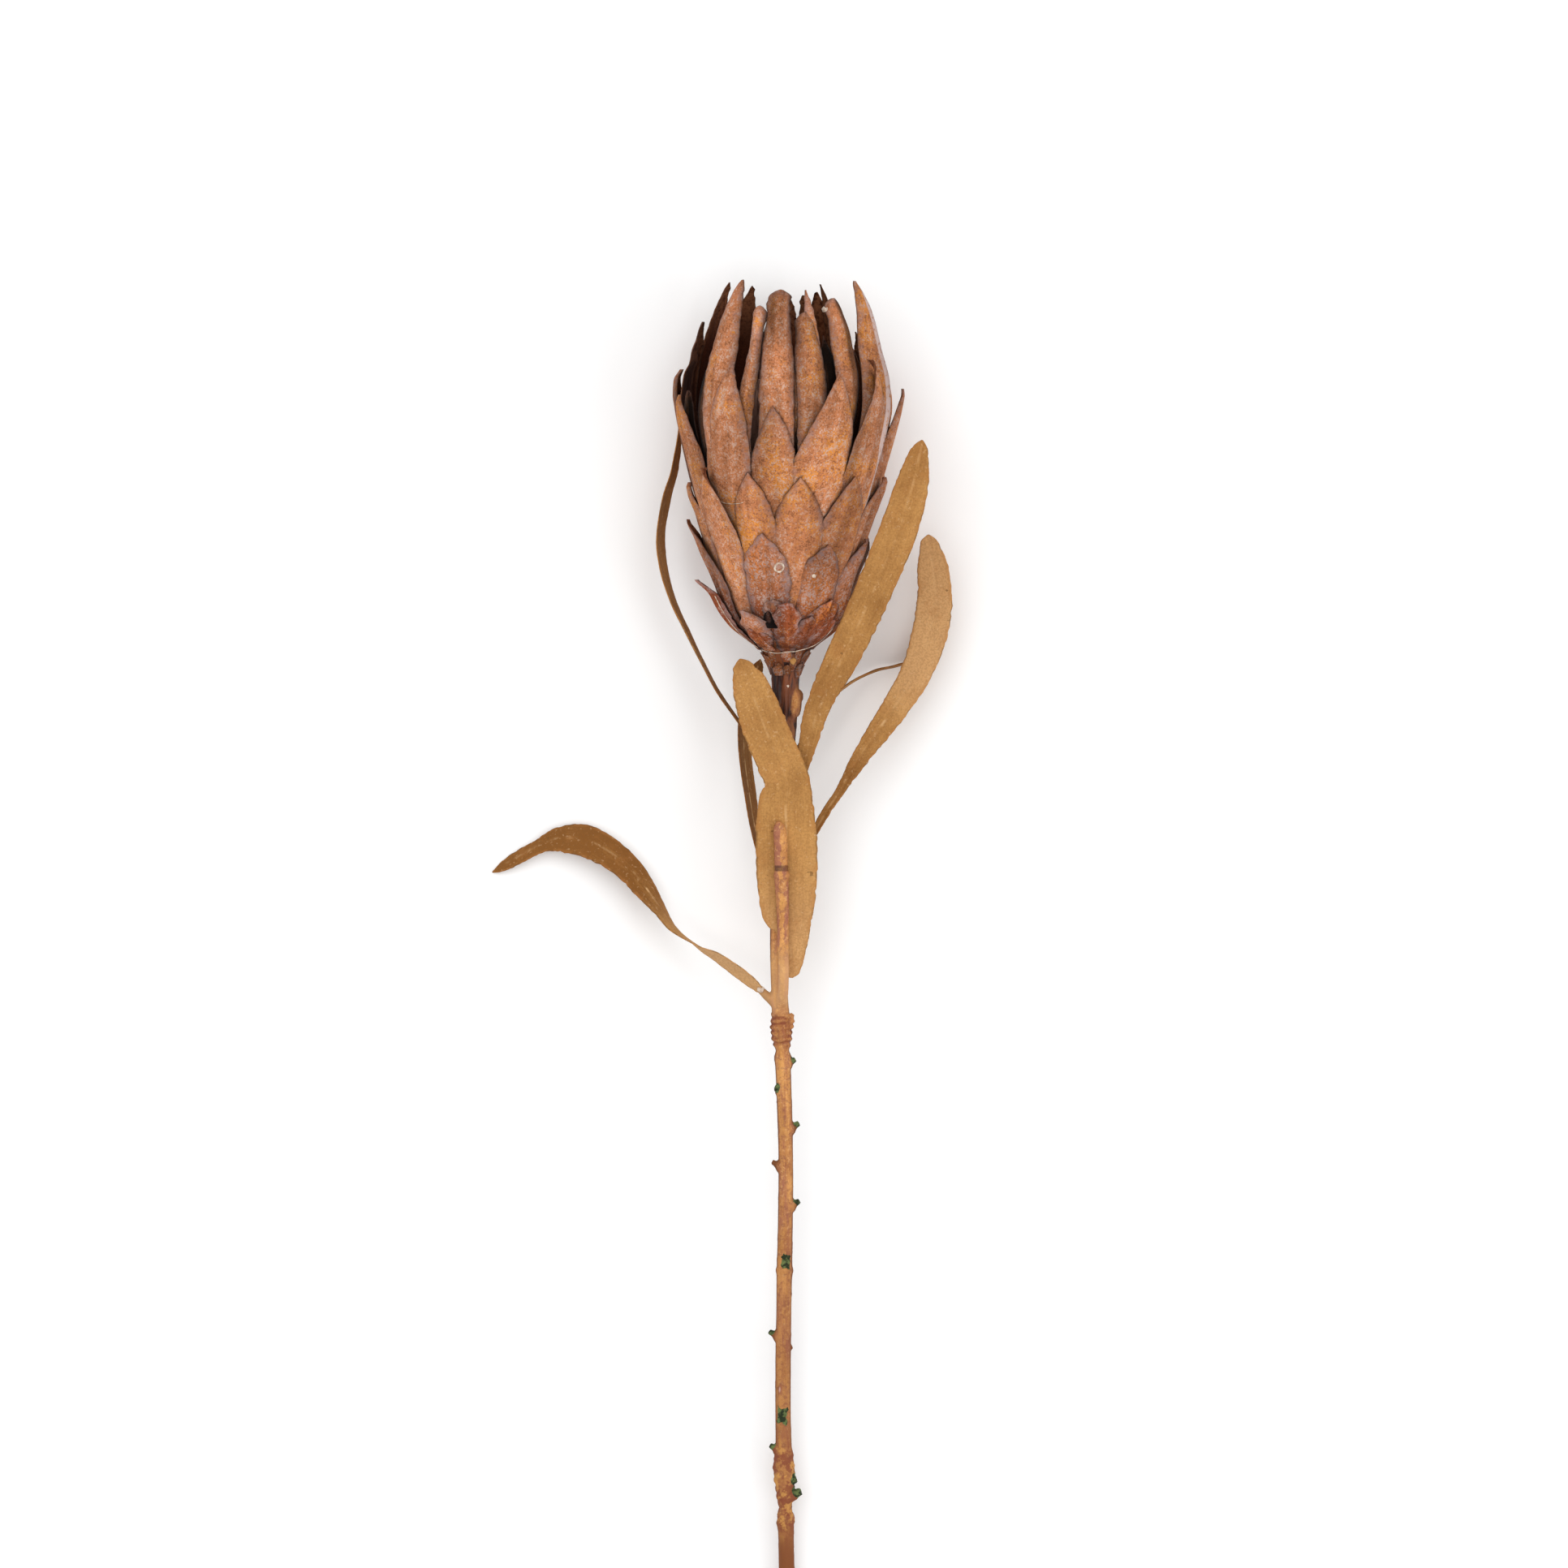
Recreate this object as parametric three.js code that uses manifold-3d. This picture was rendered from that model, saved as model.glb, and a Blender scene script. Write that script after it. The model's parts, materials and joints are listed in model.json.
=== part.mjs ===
// A protea flower: a closed head of overlapping bracts on a cut stem with seven leaves.
// Millimetres, +Z up. The flower lies on its back: the stem runs along Y and the head points to +Y.
//
// Plant frame, used for every piece: the neck, where the head meets the stem, is at 0, 0, 0. +y runs up
// the axis of the head, +x to the right, and +z to the side that faces up when the flower lies down.
// Turns round the axis are in degrees from +z towards +x.

import * as THREE from 'three';
import { mergeVertices } from 'three/addons/utils/BufferGeometryUtils.js';
import Module from 'manifold-3d';

// ---------------------------------------------------------------- driving dimensions

const STEM_LENGTH = 337;          // neck to cut end
const STEM_RADIUS = 2.5;
const STEM_SIDES = 12;
const CROWN_HEIGHT = 3;           // height of the stem's swollen top above the highest seat
const CROWN_ROUNDING = 0.4;       // drop of the crown's rounded shoulder, which is twice that narrower
const ROOT_FLARE = 1.2;           // widening of a stub or a peg at its root
const STUB_SLANT = 0.8;           // how far a stub leans towards the head, as a share of its length

const ROW_PITCH = 1.4;            // how far one row of bracts lies inside the row outside it
const ROW_FADE = 8;               // height over which a row swings out once the row outside it has ended
const BRACT_THICKNESS = 0.8;
const BRACT_FILL = 0.95;          // share of the room between two neighbours that the bracts take
const BRACT_STEPS_ACROSS = 3;
const BRACT_TIP_WIDTH = 0.5;      // half width of the blunt end of a tip
const CLAW_WIDTH = 0.7;           // width of a bract at its root, as a share of its full width
const SWING_START = 0.35;         // share of a bract's height at which it starts to swing sideways

const LEAF_THICKNESS = 1.1;
const LEAF_STEPS_ACROSS = 4;
const LEAF_CHANNEL = 0.08;        // rise of a leaf's edges above its midrib, as a share of the half width

const SEAT_GAP = 0.3;             // clearance between a bract and its seat on the stem's swollen top
const PEG_GAP = 0.6;              // clearance between a leaf's foot and the end of its peg
const REST_HEIGHT = 89;           // height on the head where it touches the surface it lies on
const REST_RADIUS = 35.85;        // distance of that place below the axis

// Outline of the closed head: height above the neck, radius.
const HEAD_OUTLINE = [
  [0, 4.5], [7, 9.5], [12, 15.2], [17, 20], [24, 23], [32, 25.5], [48, 29.5], [64, 33],
  [79, 35], [90, 35.4], [97, 33.4], [104, 30.6], [112, 27.6], [120, 24], [127, 20],
];

// Heights at which every bract has a ring of points, so that the rows keep their distance, and the last
// rings of each bract, measured down from its tip.
const RINGS = [8.5, 11, 14, 17, 21, 27, 46, 64, 82, 94, 104];
const TIP_RINGS = [10, 4.5, 1.2, 0];
const TIP_ROOM = 14;

// Radius of the stem: distance from the neck (negative, towards the cut end), radius.
const STEM_OUTLINE = [
  [-337, 2.6], [-300, 2.6], [-278, 2.6], [-275, 3.1], [-271, 3], [-269, 2.5], [-267, 3.1], [-263, 2.9],
  [-259, 3.3], [-255, 3], [-252, 3.1], [-248, 2.5], [-215, 2.5], [-195, 2.6], [-193, 2.7], [-190, 2.5],
  [-160, 2.45], [-125, 2.45], [-122.5, 2.9], [-120, 3.2], [-118, 3], [-116, 3.3], [-114, 3.05],
  [-112, 3.2], [-109, 2.8], [-95, 2.65], [-60, 2.7], [-35, 2.9], [-18, 3.2], [-8, 3.5], [0, 4.4],
];

// The stem's own slight bends: distance from the neck, sideways, towards +z.
const STEM_BENDS = [
  [-337, 0.8, 0], [-288, 0.3, 0.2], [-238, -0.8, 0.5], [-201, -0.5, 0.2], [-160, 0.1, -0.3],
  [-123, -1, -0.2], [-100, -2.1, 0], [-82, -2.3, 0.2], [-50, -1.2, 0.2], [-18, -0.3, 0], [0, 0, 0],
];

// Stubs of old leaves: distance from the neck, turn, length, radius.
const STUBS = [
  [-126, 90, 1.6, 0.9], [-133, -60, 1.2, 0.9], [-146, 95, 2.2, 1], [-159, -90, 2.1, 0.9],
  [-171, 85, 2.2, 1], [-190, 15, 1.3, 1.5], [-212, -90, 2.2, 0.9], [-219, 100, 1.1, 0.8],
  [-239, -5, 1.3, 1.8], [-248.5, -85, 2, 1], [-263.5, 75, 2.6, 1.5], [-180, 180, 1.6, 0.9],
  [-229, 170, 1.6, 1], [-140, 200, 1.5, 0.9],
];

// Rows of bracts from the outside in. Each bract is [turn, height of the tip, sideways swing of the tip
// in degrees, outward lean of the tip].
const BRACT_ROWS = [
  {
    name: 'base_bract', root: 6.5, halfWidth: 5.6, widest: 0.55, taper: 0.6,
    bracts: [
      [1, 23.2, 0, 0.3], [38, 23.8, 2, 0.4], [92, 24, 0, 0.6], [146, 21.6, 0, 0.4],
      [212, 21.6, 0, 0.4], [278, 29.2, 4, 3], [324, 20.3, 0, 0.4],
    ],
  },
  {
    name: 'lower_bract', root: 8.5, halfWidth: 8.6, widest: 0.6, taper: 0.7,
    bracts: [
      [28, 41.5, 2, 0.6], [70, 42.5, 0, 0.8], [114, 42, -2, 0.6], [158, 39, 0, 0.4],
      [202, 41, 0, 0.4], [244, 41, 0, 0], [283, 48.3, -10, 0.6], [346, 45.4, 0, 0.6],
    ],
  },
  {
    name: 'middle_bract', root: 11, halfWidth: 8.5, widest: 0.66, taper: 0.7,
    bracts: [
      [6.5, 63.4, 2, 0.6], [42, 63.4, 1, 0.8], [74, 62.2, 2, 1.4], [106, 62, 0, 0.8], [139, 59.4, 0, 0.6],
      [172, 60, 2, 0.4], [205, 59, 0, 0.4], [238, 62, 0, 0], [274, 60.2, 0, -0.3], [312, 66, -2, 1],
      [338, 64.8, 0, 0.8],
    ],
  },
  {
    name: 'upper_bract', root: 14, halfWidth: 8.9, widest: 0.66, taper: 0.65,
    bracts: [
      [20, 97, 10, 0.6], [51, 100.2, 3, 0.8], [84, 90, 6, 2.2], [123, 93, 0, 0.8], [162, 90.5, 0, 1],
      [198, 90.5, 0, 1], [232, 93.5, 0, 0.6], [264, 96, -2, 0.6], [292, 88.8, -2, 1.4],
      [325.5, 99, 3, 0.8], [350, 86.4, 3, 0.8],
    ],
  },
  {
    name: 'inner_bract', root: 17, halfWidth: 5.9, widest: 0.72, taper: 0.42,
    bracts: [
      [16, 115.6, 0, -0.5], [38, 119.8, 4, 0], [61, 125, 2, 3.2], [82, 97.4, 0, 0], [107, 106, 0, 0],
      [133, 102, 0, 0], [158, 120, -4, 0], [182, 119, -3, 0], [208, 122, 0, 0], [232, 123.4, 0, 0],
      [260, 111, -4, -1], [288, 90, 0, 0], [318, 125.6, 0, 0], [355, 124, 0, 0],
    ],
  },
];

// Packed florets in the middle of the head: height above the neck, radius.
const FLORET_OUTLINE = [
  [20.3, 11.5], [24, 13.2], [32, 15.5], [45, 18.5], [60, 20.5], [75, 20.5], [86, 17], [93, 11], [97, 4],
];

// Leaves. A station is [x, y, z, half width to the left, to the right, roll in degrees], foot to tip.
// Left and right are as seen looking along the leaf with its face up, and a roll of 0 faces +z.
// The peg grows from the stem at the height `pegFrom` and ends just short of the leaf's foot.
const LEAVES = [
  {
    name: 'leaf_left_drooping', pegFrom: -109, pegRadius: 1.6,
    stations: [
      [-7.6, -103.4, 0.2, 1.2, 1.2, 45], [-10.4, -101, -0.3, 3, 3, 54], [-15.6, -96.8, -1.2, 4.2, 4.2, 62],
      [-21.8, -92.7, -2.8, 4.8, 4.8, 69], [-28, -89.6, -4.8, 5, 5, 82], [-36, -83.8, -8, 5, 5, 97],
      [-40.5, -77.8, -10.6, 5, 5, 110], [-45, -71.6, -12.8, 5.1, 5.1, 128],
      [-50, -65.6, -14.6, 5.3, 5.3, 138], [-56.8, -60, -16, 5.5, 5.5, 145],
      [-64.8, -56.2, -17.4, 5.8, 5.8, 148], [-73, -55.9, -19, 4.5, 4.5, 144],
      [-79.6, -58.6, -20.4, 2.7, 2.7, 140], [-87.4, -63, -21.8, 2.4, 2.4, 140],
      [-94.4, -67.2, -23, 0.5, 0.5, 140],
    ],
  },
  {
    name: 'leaf_front',
    stations: [
      [1.6, -98.8, 3.8, 0.6, 0.6, 0], [1.9, -96, 4, 2.8, 3.1, 0], [1.6, -90, 4.3, 3.5, 4.8, 0],
      [1.2, -84, 4.4, 4, 6.6, 0], [0.6, -79.5, 4.4, 7.6, 7.9, 0], [0.5, -70, 4.6, 9.3, 9.3, 0],
      [0.3, -56, 5.4, 9.8, 9.8, 0], [0, -43, 7, 8.8, 8.8, -4], [0.3, -35.4, 8.2, 7.2, 7.4, -8],
      [-2.1, -29, 9, 7.2, 7.2, -10], [-5.7, -20.4, 9.8, 7.2, 7.2, -10], [-8.8, -12.2, 10, 6.8, 6.8, -8],
      [-11.4, -4.4, 9.6, 5.6, 5.6, -4], [-13.4, 0.6, 9, 3.4, 3.4, 0], [-14.6, 4, 8.4, 0.5, 0.5, 0],
    ],
  },
  {
    name: 'leaf_left_back', pegFrom: -78, pegRadius: 1.3,
    stations: [
      [-4.6, -67.6, -3.6, 1.2, 1.2, -66], [-7.4, -60.4, -6.2, 3.4, 3.4, -68],
      [-10.2, -50.7, -8.8, 4.8, 4.8, -70], [-11.9, -40.3, -10.6, 5.3, 5.3, -70],
      [-13.4, -28.9, -11.6, 5.5, 5.5, -70], [-13.5, -19.5, -12, 5.4, 5.4, -68],
      [-12.2, -9.6, -10.6, 4.6, 4.6, -62], [-9.9, -1.8, -9, 3.2, 3.2, -52], [-8, 2.6, -8.2, 0.5, 0.5, -50],
    ],
  },
  {
    name: 'leaf_left_upper', pegFrom: -41, pegRadius: 1.3,
    stations: [
      [-5.9, -30.6, -0.8, 1.3, 1.3, -68], [-11.2, -22.4, -2, 1.4, 1.4, -74], [-16.8, -14.6, -3.6, 1.8, 1.8, -80],
      [-21.8, -7.6, -5.4, 2.9, 2.9, -84], [-27.2, 2.2, -7.4, 4.2, 4.2, -85], [-32.2, 11.8, -9.2, 5.1, 5.1, -84],
      [-36.9, 22, -10.8, 5.7, 5.7, -82], [-39.9, 32.5, -12, 5.9, 5.9, -80], [-40.5, 42.9, -12.8, 5.9, 5.9, -78],
      [-39.4, 53.3, -13.4, 5.6, 5.6, -77], [-37.6, 62.4, -13.8, 4.6, 4.6, -76],
      [-36, 70.2, -14, 2.8, 2.8, -75], [-35.2, 75, -14, 0.5, 0.5, -74],
    ],
  },
  {
    name: 'leaf_right_upper', pegFrom: -48, pegRadius: 1.3,
    stations: [
      [4.3, -36.4, 2.6, 1.2, 1.2, 10], [6.4, -27.2, 4.3, 2.6, 2.4, 12], [8.7, -18.1, 6, 3.8, 3.2, 12],
      [12, -8.8, 8.2, 4.7, 3.6, 12], [17.6, 3.3, 10.8, 5.3, 5.3, 12], [24.2, 17.3, 13.2, 5.8, 5.8, 12],
      [31.3, 33.6, 15, 6, 6, 12], [36.5, 46.6, 15.6, 6, 6, 10], [40.2, 58.8, 15.4, 5.5, 5.2, 8],
      [42.4, 68.2, 14.8, 3.6, 3.2, 6], [43.6, 74.4, 14.2, 0.5, 0.5, 6],
    ],
  },
  {
    name: 'leaf_right_lower', pegFrom: -67, pegRadius: 1.5,
    stations: [
      [6.4, -57.2, -0.4, 1.2, 1.2, 20], [13.5, -45.2, -2.4, 1.4, 1.4, 22], [17.6, -38.9, -4, 1.3, 1.8, 22],
      [21.6, -31.9, -5.6, 2, 2.9, 22], [27.3, -23.5, -7.4, 3, 3.9, 20], [34.1, -14, -9.2, 3.9, 4.7, 18],
      [41.4, -2.4, -10.8, 4.8, 5.3, 16], [46, 9.1, -12, 5.7, 5.7, 14], [47.9, 20.7, -12.8, 5.7, 5.7, 12],
      [47.4, 31, -13.4, 5.1, 5.1, 12], [46.3, 38.4, -13.8, 3.2, 3.2, 12], [45.8, 42.4, -14, 0.5, 0.5, 12],
    ],
  },
  {
    name: 'leaf_right_back', pegFrom: -35, pegRadius: 1.3,
    stations: [
      [5, -25.4, -2.6, 1.2, 1.2, 84], [8.2, -17.4, -6.4, 2.4, 2.4, 88], [12, -12.2, -10, 3.2, 3.2, 90],
      [16.8, -8.4, -13.6, 4, 4, 90], [22.6, -4.6, -17, 4.5, 4.5, 90], [29.2, -1.8, -20, 4.8, 4.8, 90],
      [36, -0.5, -22.6, 4.9, 4.9, 90], [42.4, 1.6, -24.1, 4.7, 4.7, 90], [47.2, 6.6, -24.8, 3.8, 3.8, 90],
      [49.8, 13, -25.2, 2.4, 2.4, 90], [50.8, 18, -25.4, 0.5, 0.5, 90],
    ],
  },
];

// The peg that carries the front leaf lies on the leaf's face: centre line and radius.
const FRONT_PEG = {
  line: [[-1.9, -109, 0], [-1, -104.8, 4], [-0.6, -100, 7], [-0.8, -90, 7.3], [-1.8, -66, 7.7], [-3, -49, 9]],
  radius: 1.6,
};

const BRACT_COLOUR = '#a8683f';
const LOW_BRACT_COLOUR = '#8c5a4a';
const LEAF_COLOUR = '#b98a4c';
const STEM_COLOUR = '#bf7d52';
const FLORET_COLOUR = '#3a1d14';

// ---------------------------------------------------------------- small helpers

const clamp01 = (value) => Math.min(1, Math.max(0, value));
const smoothstep = (value) => clamp01(value) ** 2 * (3 - 2 * clamp01(value));

// Value at `at` of a smooth curve through table rows [position, value, ...].
function readTable(table, at, column = 1) {
  const last = table.length - 1;
  let i = 0;
  while (i < last - 1 && at > table[i + 1][0]) i += 1;
  const [low, high] = [table[i], table[i + 1]];
  const before = table[Math.max(0, i - 1)];
  const after = table[Math.min(last, i + 2)];
  const width = high[0] - low[0];
  const t = clamp01((at - low[0]) / width);
  const slopeLow = ((high[column] - before[column]) / (high[0] - before[0])) * width;
  const slopeHigh = ((after[column] - low[column]) / (after[0] - low[0])) * width;
  return low[column] * (2 * t ** 3 - 3 * t ** 2 + 1) + slopeLow * (t ** 3 - 2 * t ** 2 + t)
    + high[column] * (3 * t ** 2 - 2 * t ** 3) + slopeHigh * (t ** 3 - t ** 2);
}

// Point at a height and radius on the given turn round the axis.
function aroundAxis(height, radius, turn) {
  const angle = THREE.MathUtils.degToRad(turn);
  return new THREE.Vector3(radius * Math.sin(angle), height, radius * Math.cos(angle));
}

// Closed shell between two grids of points, face[i][j] and back[i][j], with a rim round the edge.
function shellGeometry(face, back) {
  const along = face.length - 1;
  const across = face[0].length - 1;
  const points = [...face.flat(), ...back.flat()];
  const backStart = face.length * face[0].length;
  const at = (i, j, side) => side * backStart + i * (across + 1) + j;
  const index = [];
  const quad = (a, b, c, d) => index.push(a, b, c, a, c, d);
  for (let i = 0; i < along; i += 1) {
    for (let j = 0; j < across; j += 1) {
      quad(at(i, j, 0), at(i, j + 1, 0), at(i + 1, j + 1, 0), at(i + 1, j, 0));
      quad(at(i, j, 1), at(i + 1, j, 1), at(i + 1, j + 1, 1), at(i, j + 1, 1));
    }
    quad(at(i, 0, 1), at(i, 0, 0), at(i + 1, 0, 0), at(i + 1, 0, 1));
    quad(at(i, across, 0), at(i, across, 1), at(i + 1, across, 1), at(i + 1, across, 0));
  }
  for (let j = 0; j < across; j += 1) {
    quad(at(0, j, 1), at(0, j + 1, 1), at(0, j + 1, 0), at(0, j, 0));
    quad(at(along, j, 0), at(along, j + 1, 0), at(along, j + 1, 1), at(along, j, 1));
  }
  const geometry = new THREE.BufferGeometry().setFromPoints(points);
  geometry.setIndex(index);
  geometry.computeVertexNormals();
  return geometry;
}

function namedMesh(name, geometry, colour, roughness = 0.9) {
  const material = new THREE.MeshStandardMaterial({ color: colour, roughness, metalness: 0 });
  const mesh = new THREE.Mesh(geometry, material);
  mesh.name = name;
  return mesh;
}

// ---------------------------------------------------------------- bracts

// Radius of the outer face of a row: the head's outline, less one pitch for each row still outside it.
function rowRadius(rowNumber, height) {
  let rowsOutside = 0;
  for (const outer of BRACT_ROWS.slice(0, rowNumber)) {
    const highestTip = Math.max(...outer.bracts.map(([, tip]) => tip));
    rowsOutside += smoothstep((highestTip + ROW_FADE - height) / ROW_FADE);
  }
  return readTable(HEAD_OUTLINE, height) - ROW_PITCH * rowsOutside;
}

// Share of its full width that a bract has at `v`, 0 at its root and 1 at its tip.
function bractWidth(row, v) {
  if (v < row.widest) return CLAW_WIDTH + (1 - CLAW_WIDTH) * smoothstep(v / row.widest);
  const towardsTip = (v - row.widest) / (1 - row.widest);
  return (1 - towardsTip ** 2) ** row.taper;
}

// Turn of the middle of a bract at a height: it swings sideways towards its tip.
function middleTurn(row, bractNumber, height) {
  const [turn, tip, swing] = row.bracts[bractNumber];
  const v = (height - row.root) / (tip - row.root);
  return turn + swing * smoothstep((v - SWING_START) / (1 - SWING_START));
}

function bractGeometry(row, rowNumber, bractNumber) {
  const count = row.bracts.length;
  const before = (bractNumber + count - 1) % count;
  const after = (bractNumber + 1) % count;
  const [, tip, , lean] = row.bracts[bractNumber];
  const lowRings = RINGS.filter((height) => height > row.root && height < tip - TIP_ROOM);
  const heights = [row.root, ...lowRings, ...TIP_RINGS.map((down) => tip - down)];
  const face = [];
  const back = [];
  for (const height of heights) {
    const v = (height - row.root) / (tip - row.root);
    const leaning = lean * clamp01(2 * v - 1) ** 2;
    const radius = rowRadius(rowNumber, height) + leaning;
    const middle = middleTurn(row, bractNumber, height);
    const roomBefore = (middle - middleTurn(row, before, height) + 360) % 360;
    const roomAfter = (middleTurn(row, after, height) - middle + 360) % 360;
    const widest = THREE.MathUtils.radToDeg(row.halfWidth / radius);
    const bluntEnd = THREE.MathUtils.radToDeg(BRACT_TIP_WIDTH / radius);
    const share = bractWidth(row, v);
    const toLeft = Math.max(bluntEnd, share * Math.min(widest, BRACT_FILL * roomBefore / 2));
    const toRight = Math.max(bluntEnd, share * Math.min(widest, BRACT_FILL * roomAfter / 2));
    const faceRing = [];
    const backRing = [];
    for (let j = 0; j <= BRACT_STEPS_ACROSS; j += 1) {
      const turn = middle - toLeft + (toLeft + toRight) * (j / BRACT_STEPS_ACROSS);
      faceRing.push(aroundAxis(height, radius, turn));
      backRing.push(aroundAxis(height, radius - BRACT_THICKNESS, turn));
    }
    face.push(faceRing);
    back.push(backRing);
  }
  return shellGeometry(face, back);
}

function makeBracts() {
  const meshes = [];
  BRACT_ROWS.forEach((row, rowNumber) => {
    row.bracts.forEach((_, bractNumber) => {
      const colour = rowNumber < 2 ? LOW_BRACT_COLOUR : BRACT_COLOUR;
      const geometry = bractGeometry(row, rowNumber, bractNumber);
      meshes.push(namedMesh(`${row.name}_${bractNumber + 1}`, geometry, colour));
    });
  });
  return meshes;
}

// ---------------------------------------------------------------- leaves

// Curve through one group of three columns of a leaf's stations.
function stationCurve(stations, firstColumn) {
  const points = stations.map((station) => new THREE.Vector3(...station.slice(firstColumn, firstColumn + 3)));
  return new THREE.CatmullRomCurve3(points, false, 'catmullrom', 0.5);
}

function leafGeometry(stations) {
  const line = stationCurve(stations, 0);
  const shape = stationCurve(stations, 3);
  const stepsAlong = stations.length - 1;
  const face = [];
  const back = [];
  for (let i = 0; i <= stepsAlong; i += 1) {
    const t = i / stepsAlong;
    const centre = line.getPoint(t);
    const along = line.getTangent(t);
    const [left, right, rollDegrees] = shape.getPoint(t).toArray();
    const roll = THREE.MathUtils.degToRad(rollDegrees);
    const up = new THREE.Vector3(0, 0, 1).projectOnPlane(along).normalize();
    const side = along.clone().cross(up);
    const across = side.clone().multiplyScalar(Math.cos(roll)).addScaledVector(up, Math.sin(roll));
    const normal = up.clone().multiplyScalar(Math.cos(roll)).addScaledVector(side, -Math.sin(roll));
    const faceRow = [];
    const backRow = [];
    for (let j = 0; j <= LEAF_STEPS_ACROSS; j += 1) {
      const u = (2 * j) / LEAF_STEPS_ACROSS - 1;
      const halfWidth = u < 0 ? left : right;
      const rise = LEAF_CHANNEL * halfWidth * u * u;
      const middle = centre.clone().addScaledVector(across, u * halfWidth).addScaledVector(normal, rise);
      faceRow.push(middle.clone().addScaledVector(normal, LEAF_THICKNESS / 2));
      backRow.push(middle.clone().addScaledVector(normal, -LEAF_THICKNESS / 2));
    }
    face.push(faceRow);
    back.push(backRow);
  }
  return shellGeometry(face, back);
}

// ---------------------------------------------------------------- stem and florets

const wasm = await Module();
wasm.setup();

function toSolid(geometry) {
  const bare = geometry.clone();
  bare.deleteAttribute('normal');
  bare.deleteAttribute('uv');
  const merged = mergeVertices(bare, 1e-4);
  return new wasm.Manifold(new wasm.Mesh({
    numProp: 3,
    vertProperties: new Float32Array(merged.attributes.position.array),
    triVerts: new Uint32Array(merged.index.array),
  }));
}

function toGeometry(solid) {
  const mesh = solid.getMesh();
  const geometry = new THREE.BufferGeometry();
  geometry.setAttribute('position', new THREE.BufferAttribute(mesh.vertProperties, 3));
  geometry.setIndex(new THREE.BufferAttribute(mesh.triVerts, 1));
  geometry.computeVertexNormals();
  return geometry;
}

// Centre of the stem at a distance from the neck.
function stemCentre(y) {
  const at = Math.min(0, y);
  return new THREE.Vector3(readTable(STEM_BENDS, at, 1), y, readTable(STEM_BENDS, at, 2));
}

// Tapered round peg from one point to another.
function pegGeometry(from, to, startRadius, endRadius, sides = 8) {
  const direction = to.clone().sub(from);
  const geometry = new THREE.CylinderGeometry(endRadius, startRadius, direction.length(), sides);
  const upright = new THREE.Vector3(0, 1, 0);
  geometry.applyQuaternion(new THREE.Quaternion().setFromUnitVectors(upright, direction.clone().normalize()));
  const middle = from.clone().add(to).multiplyScalar(0.5);
  return geometry.translate(middle.x, middle.y, middle.z);
}

// The stem with its swollen top, as one turned form bent along the stem's centre line. Above the neck
// each row of bracts has its seat, one pitch further in than the seat of the row outside it.
function stemBody() {
  const seats = BRACT_ROWS.map((row, rowNumber) => {
    const seatRadius = rowRadius(rowNumber, row.root) - BRACT_THICKNESS - SEAT_GAP;
    return new THREE.Vector2(seatRadius, row.root);
  });
  const top = seats[seats.length - 1];
  const outline = [
    new THREE.Vector2(0, -STEM_LENGTH),
    ...STEM_OUTLINE.map(([y, radius]) => new THREE.Vector2(radius, y)),
    ...seats,
    new THREE.Vector2(top.x - 2 * CROWN_ROUNDING, top.y + CROWN_HEIGHT - CROWN_ROUNDING),
    new THREE.Vector2(0, top.y + CROWN_HEIGHT),
  ];
  const geometry = new THREE.LatheGeometry(outline, STEM_SIDES);
  const position = geometry.attributes.position;
  for (let i = 0; i < position.count; i += 1) {
    const centre = stemCentre(position.getY(i));
    position.setX(i, position.getX(i) + centre.x);
    position.setZ(i, position.getZ(i) + centre.z);
  }
  return geometry;
}

function makeStem() {
  let solid = toSolid(stemBody());
  for (const [y, turn, length, radius] of STUBS) {
    const root = stemCentre(y);
    const end = root.clone().add(aroundAxis(length * STUB_SLANT, STEM_RADIUS + length, turn));
    solid = solid.add(toSolid(pegGeometry(root, end, radius * ROOT_FLARE, radius)));
  }
  for (const { pegFrom, pegRadius, stations } of LEAVES.filter((leaf) => leaf.pegFrom)) {
    const root = stemCentre(pegFrom);
    const foot = new THREE.Vector3(...stations[0].slice(0, 3));
    const reach = foot.clone().sub(root);
    const end = root.clone().addScaledVector(reach, 1 - PEG_GAP / reach.length());
    solid = solid.add(toSolid(pegGeometry(root, end, pegRadius * ROOT_FLARE, pegRadius)));
  }
  const pegCurve = new THREE.CatmullRomCurve3(FRONT_PEG.line.map((point) => new THREE.Vector3(...point)));
  const section = new THREE.Shape().absarc(0, 0, FRONT_PEG.radius, 0, Math.PI * 2);
  const frontPeg = new THREE.ExtrudeGeometry(section, { extrudePath: pegCurve, steps: 14, curveSegments: 4 });
  return toGeometry(solid.add(toSolid(frontPeg)));
}

function floretGeometry() {
  const [lowest, highest] = [FLORET_OUTLINE[0], FLORET_OUTLINE[FLORET_OUTLINE.length - 1]];
  const outline = [
    new THREE.Vector2(0, lowest[0]),
    ...FLORET_OUTLINE.map(([y, radius]) => new THREE.Vector2(radius, y)),
    new THREE.Vector2(0, highest[0] + 1),
  ];
  return new THREE.LatheGeometry(outline, STEM_SIDES);
}

// ---------------------------------------------------------------- assembly

const plant = new THREE.Group();
plant.add(namedMesh('stem', makeStem(), STEM_COLOUR, 0.8));
plant.add(namedMesh('floret_mass', floretGeometry(), FLORET_COLOUR, 1));
for (const { name, stations } of LEAVES) {
  plant.add(namedMesh(name, leafGeometry(stations), LEAF_COLOUR));
}
plant.add(...makeBracts());

// The head and the cut end both touch the surface, so the axis slopes up towards the head.
const slope = Math.asin((REST_RADIUS - STEM_RADIUS) / (REST_HEIGHT + STEM_LENGTH));
plant.rotation.x = slope;

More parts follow.
